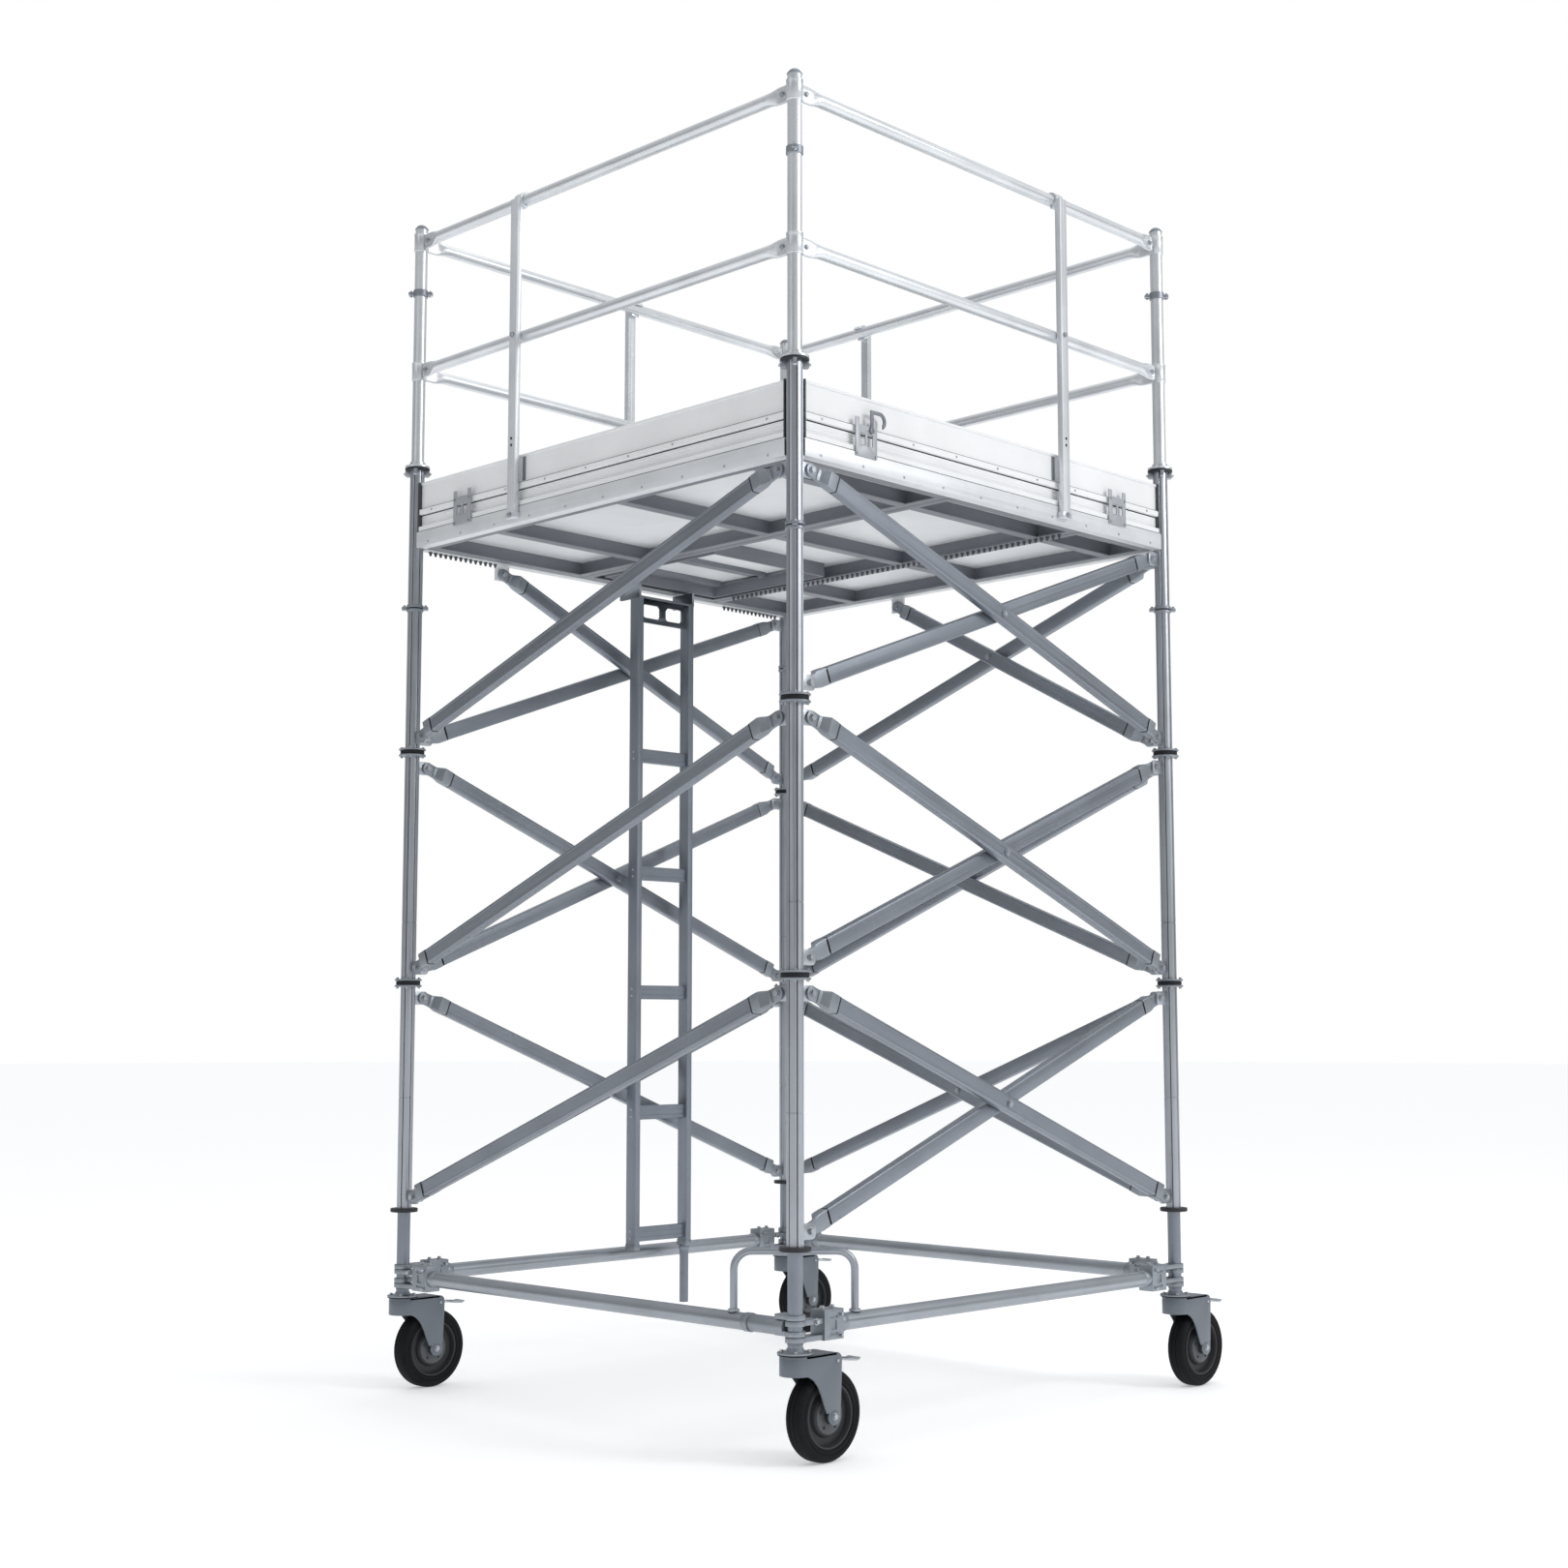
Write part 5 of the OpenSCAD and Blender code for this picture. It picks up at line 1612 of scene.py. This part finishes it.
@dataclass
class Castor:
    """One castor: stem plate, fork, wheel, axle and foot lever.

    Args:
        corner: the post it stands under.
    """

    corner: Corner
    trail: float = 0.110
    wheel_r: float = 0.127
    tyre_half: float = 0.030
    rim_r: float = 0.090
    fork_half: float = 0.044
    fork_t: float = 0.005
    fork_top: float = 0.2986
    crown_z: float = 0.244

    def place(self) -> Matrix:
        """The castor's frame under its post, not turned with the corner."""
        low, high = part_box(f"tyre_{self.corner.label}")
        return Matrix.Translation(((low.x + high.x) / 2 - self.trail, (low.y + high.y) / 2, 0))

    def fork(self) -> None:
        """The fork: two curved side plates, top plate and curved front crown."""
        place, shell = self.place(), Shell()
        eye, z, x = 0.024, self.wheel_r, self.trail
        curve = [(0.0, self.crown_z), (0.0, self.fork_top), (x + 0.010, self.fork_top)]
        curve += [(x + 0.010 + 0.020 * math.sin(a), self.fork_top - 0.020 + 0.020 * math.cos(a))
                  for a in (0.4, 0.8, 1.2, 1.5)]
        curve += [(x + 0.0285, 0.235), (x + 0.0265, 0.190), (x + 0.0245, 0.150)]
        curve += [(x + eye * math.cos(a), z + eye * math.sin(a))
                  for a in [math.radians(20 - 21 * i) for i in range(12)]]
        curve += [(x - 0.030, z + 0.010), (x - 0.042, 0.162), (x - 0.053, 0.190), (x - 0.066, 0.214),
                  (x - 0.082, 0.232), (x - 0.098, 0.241)]
        outer, inner = self.fork_half, self.fork_half - self.fork_t
        for side in (-1, 1):
            shell.plate(curve, side * inner, side * outer, place, soft=0.0009)
        top = [(x + 0.010, outer), (0.0, outer)]
        bend = [(-outer * math.sin(a), outer * math.cos(a)) for a in [math.pi * i / 20 for i in range(1, 20)]]
        top += bend + [(0.0, -outer), (x + 0.010, -outer)]
        lying = place @ Matrix(((1, 0, 0, 0), (0, 0, 1, 0), (0, 1, 0, 0), (0, 0, 0, 1)))
        shell.plate(top, self.fork_top - 0.008, self.fork_top, lying, soft=0.0012)
        arcs = []
        for a in [math.pi * i / 24 for i in range(25)]:
            s, c = math.sin(a), math.cos(a)
            arcs.append([Vector((-r * s, r * c, h))
                         for r, h in ((outer, self.crown_z), (outer, self.fork_top - 0.004),
                                      (inner, self.fork_top - 0.004), (inner, self.crown_z))])
        shell.skin(arcs, place, grain=(2, 0, 1), soft=0.0009)
        for side in (-1, 1):
            hub = (place @ Matrix.Translation((x, side * outer, z))
                   @ Matrix.Rotation(math.radians(-90 * side), 4, "X"))
            shell.turned([(0.0, -0.0005), (0.0170, -0.0005), (0.0170, 0.0012), (0.0, 0.0012)], hub, 32,
                         soft=0.0004)
        shell.piece(f"castor_fork_{self.corner.label}_finished", (FORK,), f"castor_{self.corner.label}",
                    "fork_grey", (f"castor_fork_{self.corner.label}",))

    def wheel(self) -> None:
        """The tyre and the dished rim."""
        axis = (self.place() @ Matrix.Translation((self.trail, 0, self.wheel_r))
                @ Matrix.Rotation(math.radians(90), 4, "X"))
        w, r = self.tyre_half, self.wheel_r
        body = f"wheel_{self.corner.label}"
        side = [(self.rim_r + 0.0002, w - 0.004), (self.rim_r + 0.004, w), (self.rim_r + 0.012, w),
                (self.rim_r + 0.0128, w - 0.0012), (self.rim_r + 0.0142, w - 0.0012),
                (self.rim_r + 0.015, w), (r - 0.018, w)]
        side += [(r - 0.018 + 0.018 * math.sin(a), w - 0.018 + 0.018 * math.cos(a))
                 for a in [math.pi / 16 * i for i in range(1, 9)]]
        side += [(r, 0.0085), (r - 0.0018, 0.0078), (r - 0.0018, 0.0062), (r, 0.0055)]
        tyre = Shell()
        tyre.turned(side + [(a, -b) for a, b in reversed(side)], axis, 112, hollow=True)
        tyre.piece(f"tyre_{self.corner.label}_finished", (TYRE,), body, "tyre_black",
                   (f"tyre_{self.corner.label}",))
        rim = Shell()
        bead = [(0.0812, 0.0085), (0.0836, 0.0250), (0.0850, 0.0268), (self.rim_r - 0.0004, 0.0268)]
        half = [(0.0082, 0.0375), (0.0208, 0.0375), (0.0218, 0.0365), (0.0220, 0.0240), (0.0500, 0.0222),
                (0.0540, 0.0205), (0.0562, 0.0175), (0.0600, 0.0086), *bead]
        rim.turned(half + [(a, -b) for a, b in reversed(half)], axis, 96, hollow=True, finish=0)
        for s in (-1, 1):
            turn = axis @ (Matrix() if s > 0 else Matrix.Rotation(math.pi, 4, "X"))
            rim.turned([(0.0221, 0.0238), (0.0495, 0.0223), (0.0495, 0.0232), (0.0460, 0.0240),
                        (0.0290, 0.0252), (0.0221, 0.0256)], turn, 72, hollow=True, finish=1)
        rim.piece(f"rim_{self.corner.label}_finished", (RIM, HUB), body, "rim_dark",
                  (f"rim_{self.corner.label}",))
        bolts = Heads(6, 0.0085, 0.0035, finish=DARK)
        for i in range(5):
            a = TURN * (i + 0.25) / 5
            for s in (-1, 1):
                bolts.add(axis, (0.0375 * math.cos(a), 0.0375 * math.sin(a), s * 0.0244), (0, 0, s))
        bolts.piece(f"hub_bolts_{self.corner.label}", body, "rim_dark")

    def lever(self) -> None:
        """The foot lever: shaft, boss and a ribbed plate that turns up at its tip."""
        place = self.place() @ Matrix.Translation((self.trail + 0.012, 0, 0.276))
        shell, inner = Shell(), self.fork_half - self.fork_t - 0.0005
        axis = place @ Matrix.Rotation(math.radians(90), 4, "X")
        shell.turned([(0.0, -self.fork_half - 0.003), (0.0048, -self.fork_half - 0.003),
                      (0.0048, self.fork_half + 0.003), (0.0, self.fork_half + 0.003)], axis, 24, soft=0.0006)
        shell.turned([(0.0, -inner), (0.0088, -inner), (0.0088, inner), (0.0, inner)], axis, 28, soft=0.001)
        tilt = place @ Matrix.Rotation(math.radians(6), 4, "Y")
        spine = ((0.000, 0.016, 0.0), (0.055, 0.016, 0.0), (0.068, 0.025, 0.0), (0.098, 0.026, 0.0),
                 (0.108, 0.0255, 0.0022), (0.1145, 0.024, 0.0052))
        loops = [[Vector((x, y * w, z + h))
                  for y, z in ((-1, -0.0026), (1, -0.0026), (1, 0.0026), (-1, 0.0026))]
                 for x, w, h in spine]
        shell.skin(loops, tilt, soft=0.0009)
        for i in range(5):
            x = 0.070 + 0.0062 * i
            shell.bar([(-0.022, 0.0024), (0.022, 0.0024), (0.021, 0.0044), (-0.021, 0.0044)], (x, x + 0.0028),
                      tilt, soft=0.0004)
        label = self.corner.label
        shell.piece(f"brake_pedal_{label}_finished", (PLATED,), f"pedal_{label}", "pedal_grey",
                    (f"brake_pedal_{label}",))

    def axle(self) -> None:
        """The wheel's bolt, with a hexagon head and nut."""
        place = self.place() @ Matrix.Translation((self.trail, 0, self.wheel_r))
        label, end = self.corner.label, self.fork_half + 0.0013
        shell = Shell()
        axis = place @ Matrix.Rotation(math.radians(90), 4, "X")
        shell.turned([(0.0, -end - 0.0065), (0.0068, -end - 0.0065), (0.0078, -end - 0.0055), (0.0078, end),
                      (0.0, end)], axis, 24)
        shell.piece(f"axle_{label}_finished", (PLATED,), f"castor_{label}", "plain_steel", (f"axle_{label}",))
        nuts = Heads(6, 0.0175, 0.0040, washer_width=0.0205, washer_height=0.0012)
        for side in (-1, 1):
            nuts.add(place, (0, side * (end - 0.0007), 0), (0, side, 0))
        nuts.piece(f"axle_nuts_{label}", f"castor_{label}", "plain_steel")

    def build(self) -> None:
        """Builds the castor."""
        self.fork()
        self.wheel()
        self.axle()
        self.lever()


@dataclass
class Stems:
    """The fixed plates and kingpins that the castors turn on."""

    def build(self) -> None:
        """Builds the four stems."""
        shell, bolts = Shell(), Heads(6, 0.011, 0.005, washer_width=0.0135, washer_height=0.0012)
        z = LEVELS.stem
        for corner in Corner:
            place = LEVELS.corner(corner)
            shell.turned([(0.0150, z - 0.0078), (0.0490, z - 0.0078), (0.0490, z - 0.0052),
                          (0.0150, z - 0.0052)], place, 56, hollow=True, finish=1)
            shell.turned([(0.0, z - 0.0050), (0.0490, z - 0.0050), (0.0500, z - 0.0042), (0.0500, z - 0.0012),
                          (0.0488, z), (0.0290, z), (0.0250, z + 0.003), (0.0236, z + 0.010),
                          (0.0214, z + 0.010), (0.0, z + 0.010)], place, 56)
            shell.turned([(0.0, z - 0.031), (0.0130, z - 0.031), (0.0140, z - 0.030), (0.0140, z - 0.018),
                          (0.0078, z - 0.017), (0.0078, z - 0.0076), (0.0, z - 0.0076)], place, 32)
            for i in range(4):
                turn = place @ Matrix.Rotation(math.radians(45 + 90 * i), 4, "Z")
                bolts.add(turn, (0.0375, 0, z), (0, 0, 1))
        shell.piece("castor_stems_finished", (CAST, DARK_JOINT_AND_SHADE), TOWER, "cast_grey", ("castor_stems",))
        bolts.piece("stem_bolts", TOWER, "plain_steel")


@dataclass
class Studio:
    """Camera, floor and soft light.

    Args:
        camera_at: where the camera stands.
        heading: its direction in plan, in degrees from +X.
        pitch: how far it looks up, in degrees.
        lens: its focal length in millimetres on a 36 mm sensor.
    """

    camera_at: tuple[float, float, float] = (-5.380, -5.157, 1.200)
    heading: float = 44.445
    pitch: float = 6.164
    lens: float = 50.5
    floor_r: float = 60.0

    def camera(self) -> None:
        """Makes the scene's camera."""
        data = bpy.data.cameras.new("camera")
        data.lens, data.sensor_width = self.lens, 36.0
        data.clip_end = 500
        camera = bpy.data.objects.new("camera", data)
        camera.location = self.camera_at
        turn, rise = math.radians(self.heading), math.radians(self.pitch)
        ahead = Vector((math.cos(turn) * math.cos(rise), math.sin(turn) * math.cos(rise), math.sin(rise)))
        camera.rotation_euler = ahead.to_track_quat("-Z", "Y").to_euler()
        bpy.context.scene.collection.objects.link(camera)
        bpy.context.scene.camera = camera

    def light(self, name: str, at: tuple[float, float, float], size: float, watts: float) -> None:
        """A soft panel aimed at the middle of the tower.

        Args:
            name: its name.
            at: where it stands.
            size: its side.
            watts: its power.
        """
        data = bpy.data.lights.new(name, "AREA")
        data.shape, data.size, data.energy = "DISK", size, watts
        lamp = bpy.data.objects.new(name, data)
        lamp.location = at
        lamp.rotation_euler = (Vector((0, 0, 1.9)) - Vector(at)).to_track_quat("-Z", "Y").to_euler()
        bpy.context.scene.collection.objects.link(lamp)

    def world(self) -> None:
        """A plain pale surround: brighter overhead than at the sides."""
        world = bpy.data.worlds.new("surround")
        bpy.context.scene.world = world
        world.use_nodes = True
        nodes, wire = world.node_tree.nodes, world.node_tree.links.new
        nodes.clear()
        coords, parts = nodes.new("ShaderNodeTexCoord"), nodes.new("ShaderNodeSeparateXYZ")
        level = nodes.new("ShaderNodeMapRange")
        wire(coords.outputs["Generated"], parts.inputs[0])
        wire(parts.outputs["Z"], level.inputs["Value"])
        for key, value in (("From Min", 0.0), ("From Max", 0.9), ("To Min", 0.26), ("To Max", 0.95)):
            level.inputs[key].default_value = value
        lit, seen = nodes.new("ShaderNodeBackground"), nodes.new("ShaderNodeBackground")
        across, product = nodes.new("ShaderNodeMapRange"), nodes.new("ShaderNodeMath")
        product.operation = "MULTIPLY"
        wire(parts.outputs["X"], across.inputs["Value"])
        for key, value in (("From Min", -1.0), ("From Max", 1.0), ("To Min", 0.70), ("To Max", 1.12)):
            across.inputs[key].default_value = value
        wire(level.outputs["Result"], product.inputs[0])
        wire(across.outputs["Result"], product.inputs[1])
        wire(product.outputs[0], lit.inputs["Strength"])
        seen.inputs["Strength"].default_value = 1.0
        seen.inputs["Color"].default_value = (1.0, 1.0, 1.0, 1)
        lit.inputs["Color"].default_value = (0.97, 0.985, 1.0, 1)
        path, mix, out = (nodes.new("ShaderNodeLightPath"), nodes.new("ShaderNodeMixShader"),
                          nodes.new("ShaderNodeOutputWorld"))
        wire(path.outputs["Is Camera Ray"], mix.inputs["Fac"])
        wire(lit.outputs[0], mix.inputs[1])
        wire(seen.outputs[0], mix.inputs[2])
        wire(mix.outputs[0], out.inputs["Surface"])

    def floor(self) -> None:
        """A plain pale floor with a very faint grain."""
        mesh = bpy.data.meshes.new("floor")
        ring = [(x, y, 0.0) for x, y in circle(self.floor_r, 96)]
        mesh.from_pydata(ring, [], [tuple(range(96))])
        floor = bpy.data.objects.new("floor", mesh)
        graph = Graph("floor_pale")
        clouds = graph.noise(graph.place(), 1.5, 3)
        graph.wire(graph.blend(clouds, (0.90, 0.905, 0.91), (0.93, 0.935, 0.94)),
                   graph.shader.inputs["Base Color"])
        graph.shader.inputs["Roughness"].default_value = 0.7
        graph.shader.inputs["Specular IOR Level"].default_value = 0.2
        graph.shader.inputs["Emission Color"].default_value = (1.0, 1.0, 1.0, 1)
        graph.shader.inputs["Emission Strength"].default_value = 0.34
        mesh.materials.append(graph.material)
        bpy.context.scene.collection.objects.link(floor)

    def build(self) -> None:
        """Builds the stage and its lights."""
        self.world()
        self.floor()
        self.light("key", (2.6, -8.0, 5.6), 3.0, 230)
        self.light("fill", (-8.0, 0.5, 4.5), 3.0, 18)
        self.light("overhead", (0.5, -0.5, 10.0), 5.0, 90)
        view = bpy.context.scene.view_settings
        view.view_transform, view.look = "Standard", "None"


def main() -> None:
    """Builds the tower piece by piece."""
    logging.basicConfig(level=logging.INFO, format="%(message)s")
    studio = Studio()
    studio.camera()
    for assembly in (Stems(), BaseFrame(), Standards(), GuardPosts(), Braces(), Deck(), ToeBoards(),
                     GuardRails(), Ladder()):
        assembly.build()
    for corner in Corner:
        Castor(corner).build()
    steel = frame["nodes"]["spigots"]
    steel.data.materials.clear()
    steel.data.materials.append(PLATED.material())
    studio.build()


if __name__ == "__main__":
    main()
